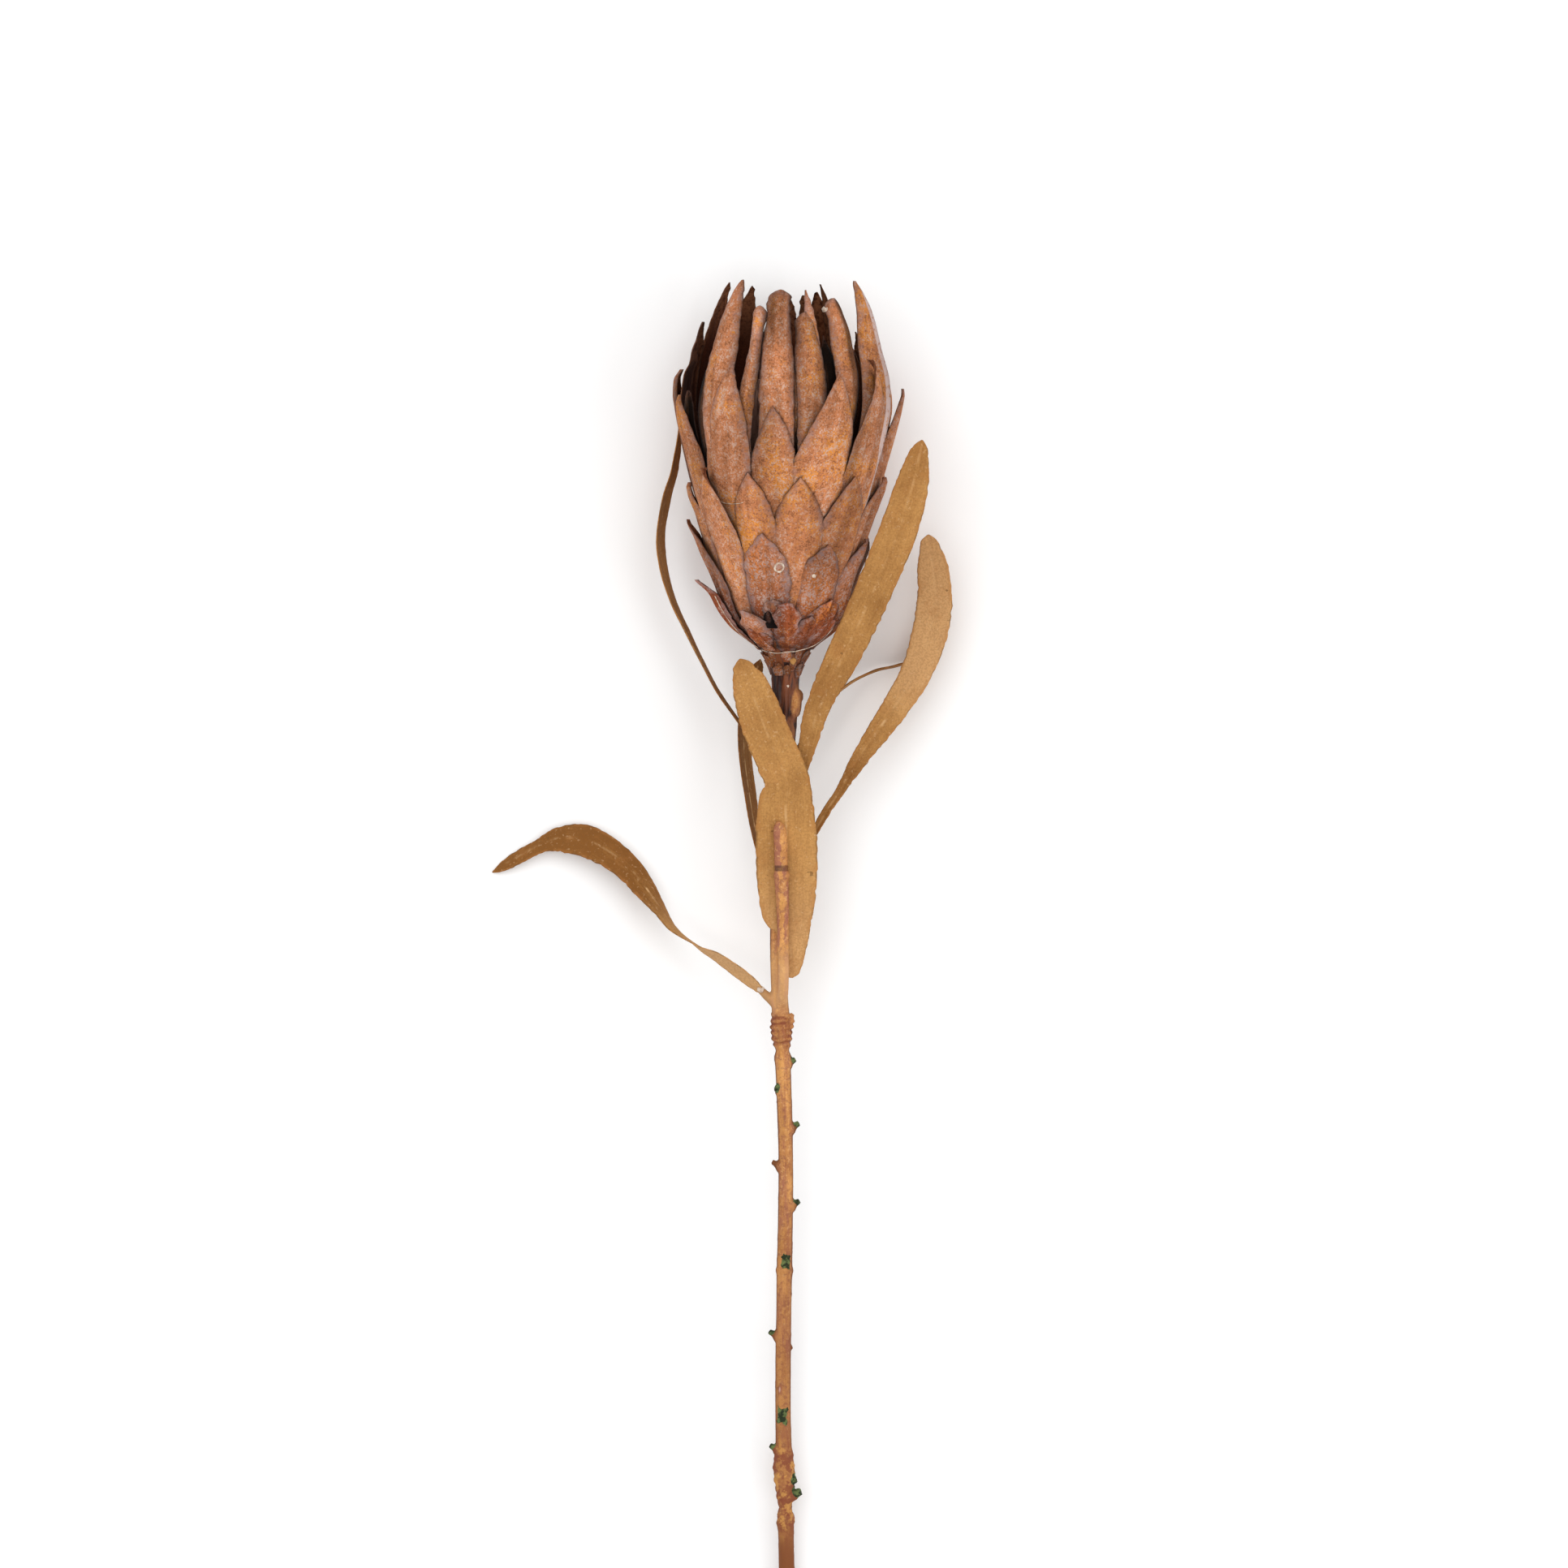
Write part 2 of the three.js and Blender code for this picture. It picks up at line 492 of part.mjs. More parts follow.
// Origin: the middle of the whole flower's footprint, on the surface that it lies on.
const protea = new THREE.Group();
protea.add(plant);
protea.updateMatrixWorld(true);
const extent = new THREE.Box3().setFromObject(protea, true);
const middle = extent.getCenter(new THREE.Vector3());
protea.position.set(-middle.x, -middle.y, -extent.min.z);

export default protea;
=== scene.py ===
"""A dried protea flower with seven leaves, lying down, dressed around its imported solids."""

import json
import math
import random

import bpy
from bpy.props import FloatProperty, FloatVectorProperty, IntProperty, PointerProperty
from mathutils import Matrix, Vector, noise
from mathutils.bvhtree import BVHTree

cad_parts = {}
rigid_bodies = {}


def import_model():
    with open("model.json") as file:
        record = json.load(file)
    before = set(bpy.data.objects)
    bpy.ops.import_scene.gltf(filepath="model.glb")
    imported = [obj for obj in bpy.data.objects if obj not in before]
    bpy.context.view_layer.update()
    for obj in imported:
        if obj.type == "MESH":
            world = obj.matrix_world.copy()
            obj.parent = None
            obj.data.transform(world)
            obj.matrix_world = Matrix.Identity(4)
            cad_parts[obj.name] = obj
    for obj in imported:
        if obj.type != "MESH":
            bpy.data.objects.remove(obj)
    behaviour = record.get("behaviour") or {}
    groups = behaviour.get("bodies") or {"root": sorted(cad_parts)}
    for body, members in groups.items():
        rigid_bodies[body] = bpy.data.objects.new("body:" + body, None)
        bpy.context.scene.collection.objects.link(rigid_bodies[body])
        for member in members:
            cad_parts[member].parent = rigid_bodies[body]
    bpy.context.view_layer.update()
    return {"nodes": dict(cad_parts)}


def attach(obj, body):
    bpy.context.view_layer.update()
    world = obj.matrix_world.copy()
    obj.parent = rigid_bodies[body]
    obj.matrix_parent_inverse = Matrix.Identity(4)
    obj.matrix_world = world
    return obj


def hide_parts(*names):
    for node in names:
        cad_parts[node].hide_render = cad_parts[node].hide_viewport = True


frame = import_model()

bl_info = {
    "name": "Protea flower",
    "version": (1, 0, 0),
    "blender": (4, 5, 0),
    "location": "3D View > Sidebar > Protea",
    "description": "Dresses a protea flower: bracts, leaves, stem and florets, on a pale floor",
    "category": "Add Mesh",
}

BODY = "root"
MM = 0.001

# Driving sizes of the lying flower, in metres. They give the slope of its axis.
STEM_LENGTH = 0.337
STEM_RADIUS = 0.0025
REST_HEIGHT = 0.089
REST_RADIUS = 0.03585
FLORET_BASE = 0.0203      # height of the lowest florets above the neck
SLOPE = math.asin((REST_RADIUS - STEM_RADIUS) / (REST_HEIGHT + STEM_LENGTH))
LEVEL = Matrix.Rotation(-SLOPE, 3, "X")


def levelled(node):
    """The corners of a solid, turned so that the axis of the flower runs along Y."""
    return [LEVEL @ corner.co for corner in frame["nodes"][node].data.vertices]


def find_neck():
    """The neck, where the head meets the stem, in the levelled frame: the florets are round about it."""
    corners = levelled("floret_mass")
    low = Vector([min(corner[k] for corner in corners) for k in range(3)])
    high = Vector([max(corner[k] for corner in corners) for k in range(3)])
    return Vector(((low.x + high.x) / 2, low.y - FLORET_BASE, (low.z + high.z) / 2))


NECK = find_neck()
UNLEVEL = LEVEL.transposed()


def placed(point):
    """A point of the plant frame, which has the neck at its origin and +y up the head, in the row frame."""
    return UNLEVEL @ (NECK + point)


# ------------------------------------------------------------------ numbers and curves


def clamp01(value):
    return min(1.0, max(0.0, value))


def smoothstep(value):
    value = clamp01(value)
    return value * value * (3 - 2 * value)


def curve(low, high, slope_low, slope_high, t):
    """The smooth curve from low to high that starts and ends at the given slopes, t running from 0 to 1."""
    return (
        low * (2 * t**3 - 3 * t**2 + 1)
        + slope_low * (t**3 - 2 * t**2 + t)
        + high * (3 * t**2 - 2 * t**3)
        + slope_high * (t**3 - t**2)
    )


def read_table(table, at, column):
    """Value at a place on the smooth curve through rows that start with their place."""
    last = len(table) - 1
    i = 0
    while i < last - 1 and at > table[i + 1][0]:
        i += 1
    low, high = table[i], table[i + 1]
    before, after = table[max(0, i - 1)], table[min(last, i + 2)]
    width = high[0] - low[0]
    t = clamp01((at - low[0]) / width)
    slope_low = (high[column] - before[column]) / (high[0] - before[0]) * width
    slope_high = (after[column] - low[column]) / (after[0] - low[0]) * width
    return curve(low[column], high[column], slope_low, slope_high, t)


def station_value(rows, t, column):
    """Value of a column on the even curve through rows, t running from 0 to 1."""
    last = len(rows) - 1
    place = clamp01(t) * last
    i = min(int(place), last - 1)
    s = place - i
    here, there = rows[i][column], rows[i + 1][column]
    before = rows[i - 1][column] if i > 0 else 2 * here - there
    after = rows[i + 2][column] if i + 2 <= last else 2 * there - here
    slope_here, slope_there = (there - before) / 2, (after - here) / 2
    return curve(here, there, slope_here, slope_there, s)


def waver(x, y, z):
    """Smooth noise between -1 and 1, made of two octaves."""
    spot = Vector((x, y, z))
    return noise.noise(spot) + 0.5 * noise.noise(spot * 2.1)


def spoke(side, other, angle):
    """The way out from a centre at an angle, in the plane of two crossed directions."""
    return side * math.cos(angle) + other * math.sin(angle)


def around_axis(height, radius, turn):
    """A point of the head: turn is in radians from the side that faces up towards +x."""
    return Vector((radius * math.sin(turn), height, radius * math.cos(turn)))


# ------------------------------------------------------------------ meshes


class Shell:
    """Closed rings of points, skinned into one mesh with marks for its material.

    marks: edge, inner side, tone and height of each point; on the bracts the tone holds painted light and
    shade.
    lay: metres across and along it, and a seed."""

    def __init__(self):
        self.points, self.faces, self.marks, self.lay = [], [], [], []

    def add(self, rings):
        """Each ring is a list of (point, mark, lay). Ends are closed by quads across the ring."""
        count = len(rings[0])
        start = len(self.points)
        for ring in rings:
            for point, mark, lay in ring:
                self.points.append(placed(point))
                self.marks.append(mark)
                self.lay.append(lay)
        for i in range(len(rings) - 1):
            low, high = start + i * count, start + (i + 1) * count
            for j in range(count):
                k = (j + 1) % count
                self.faces.append((low + j, low + k, high + k, high + j))
        top = start + (len(rings) - 1) * count
        for j in range(count // 2 - 1):
            self.faces.append((start + count - 1 - j, start + count - 2 - j, start + j + 1, start + j))
            self.faces.append((top + j, top + j + 1, top + count - 2 - j, top + count - 1 - j))

    def piece(self, name, material, slot, *nodes):
        """The finished piece, riding on the flower's body and standing for its solids."""
        mesh = bpy.data.meshes.new(name)
        mesh.from_pydata(self.points, [], self.faces)
        mesh.polygons.foreach_set("use_smooth", [True] * len(self.faces))
        store(mesh, "marks", "FLOAT_COLOR", "color", self.marks)
        store(mesh, "lay", "FLOAT_VECTOR", "vector", self.lay)
        return finished(name, mesh, material, slot, *nodes)


def store(mesh, name, kind, field, values):
    """Keeps one value per point on a mesh, for its material."""
    flat = [number for value in values for number in value]
    mesh.attributes.new(name, kind, "POINT").data.foreach_set(field, flat)


def finished(name, mesh, material, slot, *nodes):
    mesh.materials.append(bpy.data.materials[material])
    piece = bpy.data.objects.new(name, mesh)
    bpy.context.scene.collection.objects.link(piece)
    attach(piece, BODY)
    if nodes:
        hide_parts(*nodes)
    return piece


def tube_rings(line, radii, sides, tone=0.5, seed=0.0):
    """Rings of a round tube along a line of points, all sides turning the same way."""
    rings = []
    side = None
    travelled = 0.0
    for i, centre in enumerate(line):
        along = (line[min(i + 1, len(line) - 1)] - line[max(i - 1, 0)]).normalized()
        start = side or (Vector((0, 0, 1)) if abs(along.z) < 0.9 else Vector((1, 0, 0)))
        side = (start - along * start.dot(along)).normalized()
        other = side.cross(along)
        travelled += (centre - line[max(i - 1, 0)]).length
        height = i / (len(line) - 1)
        ring = []
        for j in range(sides):
            angle = -2 * math.pi * j / sides
            out = spoke(side, other, angle)
            lay = (angle * radii[i], travelled, seed)
            ring.append((centre + out * radii[i], (0.0, 0.0, tone, height), lay))
        rings.append(ring)
    return rings


# ------------------------------------------------------------------ bracts


class Habit:
    """How a bract grows: lengths in metres, angles in degrees.

    fold: how far round its sides roll in, from fold_from up; droop: how far its edges lie in;
    wave, crease: swells and lengthwise folds; curl: how far its tip turns out; ragged: edge nibbles;
    point: above 0 for a sharper tip, down to -1 for a square one; sway: how far its tip leans round the head;
    broad: how much wider it is below than its solid; tuck: how far its left edge slips under the next one;
    uneven: how far its outline wanders, as a share of its half width;
    waist: how much of the narrowing towards its root shows, 0 to 1; root_sway: how far its root leans round;
    left_lift, right_lift: how far an edge gapes near the tip; short: how far it stops short of its solid;
    tone: how light it is, 0 to 1, and below 0 painted shade; dusk: painted shade that darkens its right side."""

    def __init__(self, fold=0, fold_from=0.3, droop=0.5, wave=0.3, crease=0.2, curl=0.0, ragged=0.2,
                 point=0.5, sway=0.0, left_lift=0.0, right_lift=0.0, tone=0.5, broad=1.0, tuck=0.0,
                 waist=0.0, root_sway=0.0, short=0.0, uneven=0.07, dusk=0.0):
        self.fold, self.fold_from = fold, fold_from
        self.droop, self.wave, self.crease = droop * MM, wave * MM, crease * MM
        self.curl, self.ragged = curl * MM, ragged * MM
        self.point, self.sway, self.tone = point, sway, tone
        self.left_lift, self.right_lift = left_lift * MM, right_lift * MM
        self.broad, self.tuck = broad, tuck * MM
        self.waist, self.root_sway, self.short = waist, root_sway, short * MM
        self.uneven, self.dusk = uneven, dusk


ROW_HABITS = {
    "base_bract": dict(fold=10, droop=0.7, wave=1.0, crease=1.0, curl=0.3, ragged=1.5, point=0.4, tone=0.36,
                       broad=1.2, tuck=0.3, uneven=0.3),
    "lower_bract": dict(fold=10, droop=0.8, wave=0.7, crease=0.55, curl=0.1, ragged=0.8, point=0.7, tone=0.45,
                        broad=1.2, tuck=0.35, uneven=0.2),
    "middle_bract": dict(fold=10, droop=0.8, wave=0.6, crease=0.4, ragged=0.3, point=0.6, broad=1.25,
                         tuck=0.4),
    "upper_bract": dict(fold=14, fold_from=0.4, droop=0.75, wave=0.6, crease=0.45, curl=0.2, ragged=0.3,
                        point=0.7, broad=1.22, tuck=0.4, waist=0.2),
    "inner_bract": dict(fold=42, fold_from=0.35, droop=0.3, wave=0.6, crease=0.4, curl=-0.6, ragged=0.35,
                        point=0.3, waist=0.9, tone=0.38),
}

# How some bracts differ from the rest of their row.
OWN_HABITS = {
    "inner_bract_14": dict(fold=56, fold_from=0.45, wave=0.8, crease=0.7, curl=-1.0, ragged=0.5, point=-0.8,
                           tone=0.52, short=1.3),
    # Painted shade: dusk darkens the right sides of inner_bract_1 and inner_bract_2.
    "inner_bract_1": dict(fold=66, fold_from=0.45, crease=0.5, curl=-1.5, point=-0.66, sway=-1.0,
                          tone=0.28, broad=0.9, dusk=0.1),
    "inner_bract_2": dict(fold=68, fold_from=0.45, crease=0.5, curl=-1.5, point=-0.6, tone=0.58, sway=2.0,
                          root_sway=-16.0, broad=0.4, dusk=1.8),
    "inner_bract_3": dict(fold=10, fold_from=0.5, wave=0.3, crease=0.2, curl=0.6, ragged=0.15, point=0.15,
                          sway=1.5, tone=0.3, tuck=2.0, root_sway=-9.0),
    "inner_bract_13": dict(fold=30, fold_from=0.4, wave=0.5, crease=0.7, point=0.6, left_lift=0.6, tone=0.42,
                           waist=1.0, sway=-1.8),
    # Painted shade: a tone below 0 makes inner_bract_12 as dark as the shade inside the head.
    "inner_bract_12": dict(fold=20, tone=-0.6, waist=1.0, curl=-1.0),
    "inner_bract_9": dict(fold=6, droop=0.1, wave=0.6, crease=0.3, curl=0.4, ragged=0.4, point=0.8, tone=0.2),
    "inner_bract_10": dict(fold=2, droop=0.0, wave=0.3, crease=0.3, curl=0.5, ragged=0.4, point=0.6, tone=0.1,
                           broad=1.3, waist=0.0),
    "inner_bract_11": dict(fold=2, droop=0.0, wave=0.3, crease=0.3, curl=2.4, ragged=0.5, point=-0.5,
                           tone=0.1, broad=1.6, waist=0.0, short=5.5),
    "upper_bract_1": dict(wave=0.4, crease=0.35, point=0.5, left_lift=1.8, tone=0.66, broad=1.6, tuck=-0.2,
                          root_sway=-0.5),
    "upper_bract_2": dict(droop=0.6, crease=0.5, point=1.2, left_lift=2.2, tone=0.42, tuck=-0.2,
                          sway=1.5),
    "upper_bract_3": dict(fold=30, fold_from=0.5, droop=0.5, wave=0.4, crease=0.3, curl=0.8, point=1.6),
    "upper_bract_8": dict(tone=0.05, broad=0.7, waist=1.0, root_sway=-14.0),
    "upper_bract_9": dict(broad=1.0, waist=1.0, tone=0.4, root_sway=-8.0),
    "upper_bract_10": dict(root_sway=-8.0, tone=0.45, broad=1.3, curl=-0.4),
    "upper_bract_11": dict(root_sway=-9.0, broad=1.45, curl=-0.6),
    "middle_bract_1": dict(broad=1.35, tone=0.44, curl=-0.7),
    "middle_bract_2": dict(left_lift=0.9, tone=0.34, curl=-0.4),
    "middle_bract_10": dict(root_sway=-2.5, right_lift=3.2, tone=0.9),
    "middle_bract_11": dict(tone=0.75, curl=-0.7),
    "lower_bract_1": dict(broad=1.0, tone=0.45),
    # Painted shade: dusk and low tones darken the band of shade along the head's lower right side.
    "lower_bract_2": dict(tone=0.45, dusk=1.5),
    "lower_bract_3": dict(tone=0.15),
    "lower_bract_8": dict(broad=0.92, root_sway=-2.0, sway=-1.5, tone=0.55, curl=-0.5),
    # Painted shade: the same band of shade runs on down over base_bract_2 and base_bract_3.
    "base_bract_2": dict(tone=0.3, dusk=0.7),
    "base_bract_3": dict(tone=0.2),
    "lower_bract_7": dict(fold=15, droop=0.3, curl=1.2, ragged=0.4, point=0.8, right_lift=0.8, tone=0.4,
                          broad=1.1),
    "base_bract_6": dict(fold=25, droop=0.2, curl=1.5, point=1.0, tone=0.5),
    "base_bract_7": dict(tone=0.95, right_lift=2.4, curl=0.8, broad=1.0),
    "base_bract_1": dict(left_lift=2.8, point=1.0, curl=0.8, broad=0.95, tone=0.3),
}

ROW_MATERIALS = {"base_bract": "rust velvet", "lower_bract": "low velvet"}
OWN_MATERIALS = {
    "base_bract_7": "low velvet", "middle_bract_1": "warm velvet", "middle_bract_2": "warm velvet",
    "middle_bract_11": "warm velvet", "inner_bract_2": "warm velvet", "inner_bract_3": "pale-edged velvet",
    "base_scale_1": "low velvet",
}

INNERMOST_SEED, SCALE_SEED = 101, 201    # where the seeds of the small pieces start

# The innermost bracts, too many to be solids of their own: turn in degrees, height of the tip, how far
# inside the inner row they stand, half width, and the angle that their sides roll in by.
INNERMOST_BRACTS = {
    "innermost_bract_1": (-27.5, 117.8, 1.2, 3.0, 60),
    "innermost_bract_2": (-55, 101, 1.6, 4.5, 30),
    "innermost_bract_3": (5, 98, 1.8, 4.5, 30),
    "innermost_bract_4": (18.5, 122.5, 2.5, 3.3, 30),
    "innermost_bract_5": (30, 108, 3.4, 4.6, 20),
    "innermost_bract_6": (145, 122.7, 2.0, 3.2, 25),
    "innermost_bract_7": (165, 119, 2.0, 3.4, 25),
    "innermost_bract_8": (195, 108, 2.0, 4.2, 15),
    "innermost_bract_9": (221, 112, 2.0, 4.4, 15),
    "innermost_bract_10": (250, 111, 0.2, 6.4, 8),
    "innermost_bract_11": (124, 107.5, 0.6, 7.0, 10),
}
# Painted shade: innermost bracts 2, 3 and 5 have a tone below 0, as dark as the gaps they fill.
INNERMOST_HABITS = {
    "innermost_bract_1": dict(point=-0.8, sway=8.0, curl=1.2, crease=0.6, tone=0.4),
    "innermost_bract_2": dict(tone=-0.6),
    "innermost_bract_4": dict(point=0.0, sway=0.5, curl=0.0, tone=0.35),
    "innermost_bract_3": dict(tone=-0.6),
    "innermost_bract_5": dict(tone=-0.6),
    "innermost_bract_7": dict(point=-0.5),
    "innermost_bract_10": dict(curl=1.5, point=-0.4),
}


# Small torn scales over the lowest bracts: turn in degrees, height of the tip, length, how far outside the
# lowest row they stand, half width, and tone. The dark one is painted shade, in the gap between two bracts.
BASE_SCALES = {
    "base_scale_1": (-9.5, 24.0, 5.5, 0.5, 3.4, 0.4),
    "base_scale_2": (24, 18.5, 20, 0.1, 4.6, 0.1),
    "base_scale_3": (48, 17.0, 20, 0.5, 4.2, 0.25),
    "base_scale_4": (-40, 14.0, 20, 0.3, 4.6, 0.35),
    "base_scale_5": (4, 12.0, 20, 0.3, 4.4, 0.15),
    "base_scale_6": (-14.5, 20.2, 5.8, 0.55, 2.0, -0.6),
}


EDGE_THICKNESS = 0.32     # thickness of a bract at its edge, in millimetres
EDGE_WIDTH = 4 * MM       # width of the border that a bract's edge mark covers
BRIGHTEST = 1.5           # brightness that a full tone mark stands for in the velvet materials


def brightness(tone):
    """The mark for a tone up to 1. Below 0 it is painted shade, as dark as a crevice."""
    return (0.52 + 0.92 * min(1.0, max(-0.55, tone))) / BRIGHTEST


def bract_rings(node):
    """The rings of a bract's solid from root to tip: height, left turn, right turn, outer radius."""
    corners = sorted((corner - NECK for corner in levelled(node)), key=lambda corner: corner.y)
    rings = [[corners[0]]]
    for corner in corners[1:]:
        if corner.y - rings[-1][-1].y > 0.3 * MM:
            rings.append([])
        rings[-1].append(corner)
    table = []
    for ring in rings:
        middle = sum(ring, Vector()) / len(ring)
        ahead = math.atan2(middle.x, middle.z)
        if table:
            previous = (table[-1][1] + table[-1][2]) / 2
            ahead += 2 * math.pi * round((previous - ahead) / (2 * math.pi))
        spread = []
        for corner in ring:
            away = math.atan2(corner.x, corner.z) - ahead
            spread.append(away - 2 * math.pi * round(away / (2 * math.pi)))
        radius = max(math.hypot(corner.x, corner.z) for corner in ring)
        table.append((middle.y, ahead + min(spread), ahead + max(spread), radius))
    return table


def inside_rings(turn, tip, inside, half_width, model):
    """Rings of an innermost bract, which follows the shape of a bract of the inner row further out."""
    table = []
    root = model[0][0] + 4 * MM
    steps = 12
    for i in range(steps + 1):
        v = (i / steps) ** 0.8
        height = root + (tip * MM - root) * v
        radius = read_table(model, min(height, model[-1][0]), 3) - inside * MM * smoothstep(v * 2)
        shape = 1.0 if v < 0.6 else (1 - ((v - 0.6) / 0.4) ** 2.4) ** 0.6
        spread = max(0.15 * MM, shape * half_width * MM) / radius
        table.append((height, math.radians(turn) - spread, math.radians(turn) + spread, radius))
    return table


def scale_rings(turn, tip, length, outside, half_width, model):
    """Rings of a small scale that lies on the lowest row of bracts."""
    table = []
    root = max(model[0][0] + 1 * MM, (tip - length) * MM)
    for i in range(9):
        v = i / 8
        height = root + (tip * MM - root) * v
        radius = read_table(model, min(height, model[-1][0]), 3) + outside * MM
        shape = 0.7 + 0.3 * smoothstep(v * 2) if v < 0.5 else (1 - ((v - 0.5) / 0.5) ** 2.2) ** 0.6
        spread = max(0.15 * MM, shape * half_width * MM) / radius
        table.append((height, math.radians(turn) - spread, math.radians(turn) + spread, radius))
    return table


def filled_out(table, habit, steps):
    """Even rows of a bract from root to tip, wide from its widest place down except for its waist."""
    root, tip = table[0][0], table[-1][0]
    rows = []
    widest = 0.0
    for i in range(steps, -1, -1):
        height = root + (tip - root) * (1 - (1 - i / steps) ** 1.4)
        left, right, radius = (read_table(table, height, column) for column in (1, 2, 3))
        spread = (right - left) / 2
        widest = max(widest, spread)
        spread = widest + (spread - widest) * habit.waist
        rows.append((height, (height - root) / (tip - root), (left + right) / 2, spread, radius))
    return rows[::-1]


def bract_shell(table, habit, seed, sizes):
    """A bract as a thin closed shell: crowned, with its sides rolled in, waved, and ragged at the edge."""
    shell = Shell()
    tip = table[-1][0]
    dice = random.Random(seed)
    tone = habit.tone + dice.uniform(-0.1, 0.1)
    drift = dice.uniform(0, 50)
    across = sizes.steps_across
    blunt = max(0.0, -habit.point)
    shoulder = 0.0
    rings = []
    for height, v, middle, spread, radius in filled_out(table, habit, sizes.steps_along):
        end = clamp01((v - 0.66) / 0.34)
        half = spread * radius * (1.0001 - end * end) ** (0.4 * max(0.0, habit.point))
        if end < 0.3:
            shoulder = half
        else:
            rounding = (0.8 + 8 * (1 - blunt)) * MM
            near_tip = 1 - clamp01((tip - height) / rounding)
            half = max(half, blunt * shoulder * math.sqrt(1 - near_tip * near_tip))
        half *= 1 + (habit.broad - 1) * (1 - smoothstep((v - 0.45) / 0.5))
        half = max(0.12 * MM, half)
        lean = habit.sway * smoothstep((v - 0.4) / 0.6) + habit.root_sway * (1 - smoothstep(v / 0.95))
        middle += math.radians(lean)
        fold = math.radians(max(1.0, habit.fold * smoothstep((v - habit.fold_from) / (1 - habit.fold_from))))
        radius += habit.curl * smoothstep((v - 0.72) / 0.28) ** 2
        gape = smoothstep((v - 0.45) / 0.35)
        nibble = habit.ragged * (1 + smoothstep((v - 0.85) / 0.15))
        face, back = [], []
        for j in range(across + 1):
            u = 2 * j / across - 1
            side = 7 if u > 0 else 0
            torn = waver(height * 420, drift + side, seed)
            reach = half * (1 + habit.uneven * waver(height * 75, drift + side, seed + 3) * abs(u) ** 3)
            reach += nibble * torn * abs(u) ** 5 * min(1, half / MM)
            sideways = reach * math.sin(u * fold) / math.sin(fold)
            depth = half * (1 - math.cos(u * fold)) / math.sin(fold) + habit.droop * abs(u) ** 3
            lift = habit.left_lift if u < 0 else habit.right_lift
            depth -= lift * gape * abs(u) ** 3 + habit.tuck * u * (1 - v**8)
            if v > 0.97:
                depth += habit.droop * (v - 0.97) / 0.03
            swell = waver(sideways * 90, height * 45, drift)
            ridge = 1 - 2 * abs(waver(sideways * 230, height * 20, drift + 9))
            relief = habit.wave * swell * (0.3 + 0.7 * v)
            relief += habit.crease * ridge * smoothstep(v * 3) * (1 - u * u)
            depth -= relief
            turn = middle + sideways / radius
            edge = 1 - min(half * (1 - abs(u)), tip - height) / EDGE_WIDTH
            # Painted light and shade in the tone mark: darker where the sides roll away, towards the right
            # side by dusk, near the root where other bracts cover it, in folds and at the very edge; lighter
            # on swells.
            rolled = fold * (0.7 * u * u if u > 0 else 0.32 * abs(u) ** 3)
            rolled += habit.dusk * min(0.5, max(0.0, u + 0.4))
            painted_root_shade = 0.4 * (1 - smoothstep((v - 0.15) / 0.35)) * (0.4 + 0.6 * abs(u))
            light = brightness(tone + 0.3 * relief / (0.5 * MM) - 0.12 * abs(u) ** 4 - rolled - painted_root_shade)
            crown = smoothstep((v - 0.86) / 0.14) * min(1, half / (3 * MM)) * MM
            top = height + crown * (0.4 * waver(u * 2.4, drift, 5) - 1.2 * blunt * abs(u) ** 3)
            top -= habit.short * smoothstep((v - 0.8) / 0.2)
            thick = (EDGE_THICKNESS + (sizes.thickness / MM - EDGE_THICKNESS) * (1 - u * u) * (1 - v**6)) * MM
            lay = (sideways, height, seed * 0.37)
            face.append((around_axis(top, radius - depth, turn), (clamp01(edge), 0.0, light, v), lay))
            back.append((around_axis(top, radius - depth - thick, turn), (clamp01(edge), 1.0, light, v), lay))
        rings.append(face + [rim(face[-1], back[-1])] + back[::-1] + [rim(face[0], back[0])])
    shell.add(rings)
    return shell


def rim(face, back):
    """The point half way round the edge, a little proud of it."""
    (point, mark, lay), (behind, _, _) = face, back
    sideways = (point - behind).cross(Vector((0, 1, 0))).normalized() * 0.1 * MM
    middle = (point + behind) / 2
    out = sideways if lay[0] < 0 else -sideways
    return (middle - out, (1.0, 0.35, mark[2], mark[3]), lay)


# ------------------------------------------------------------------ leaves

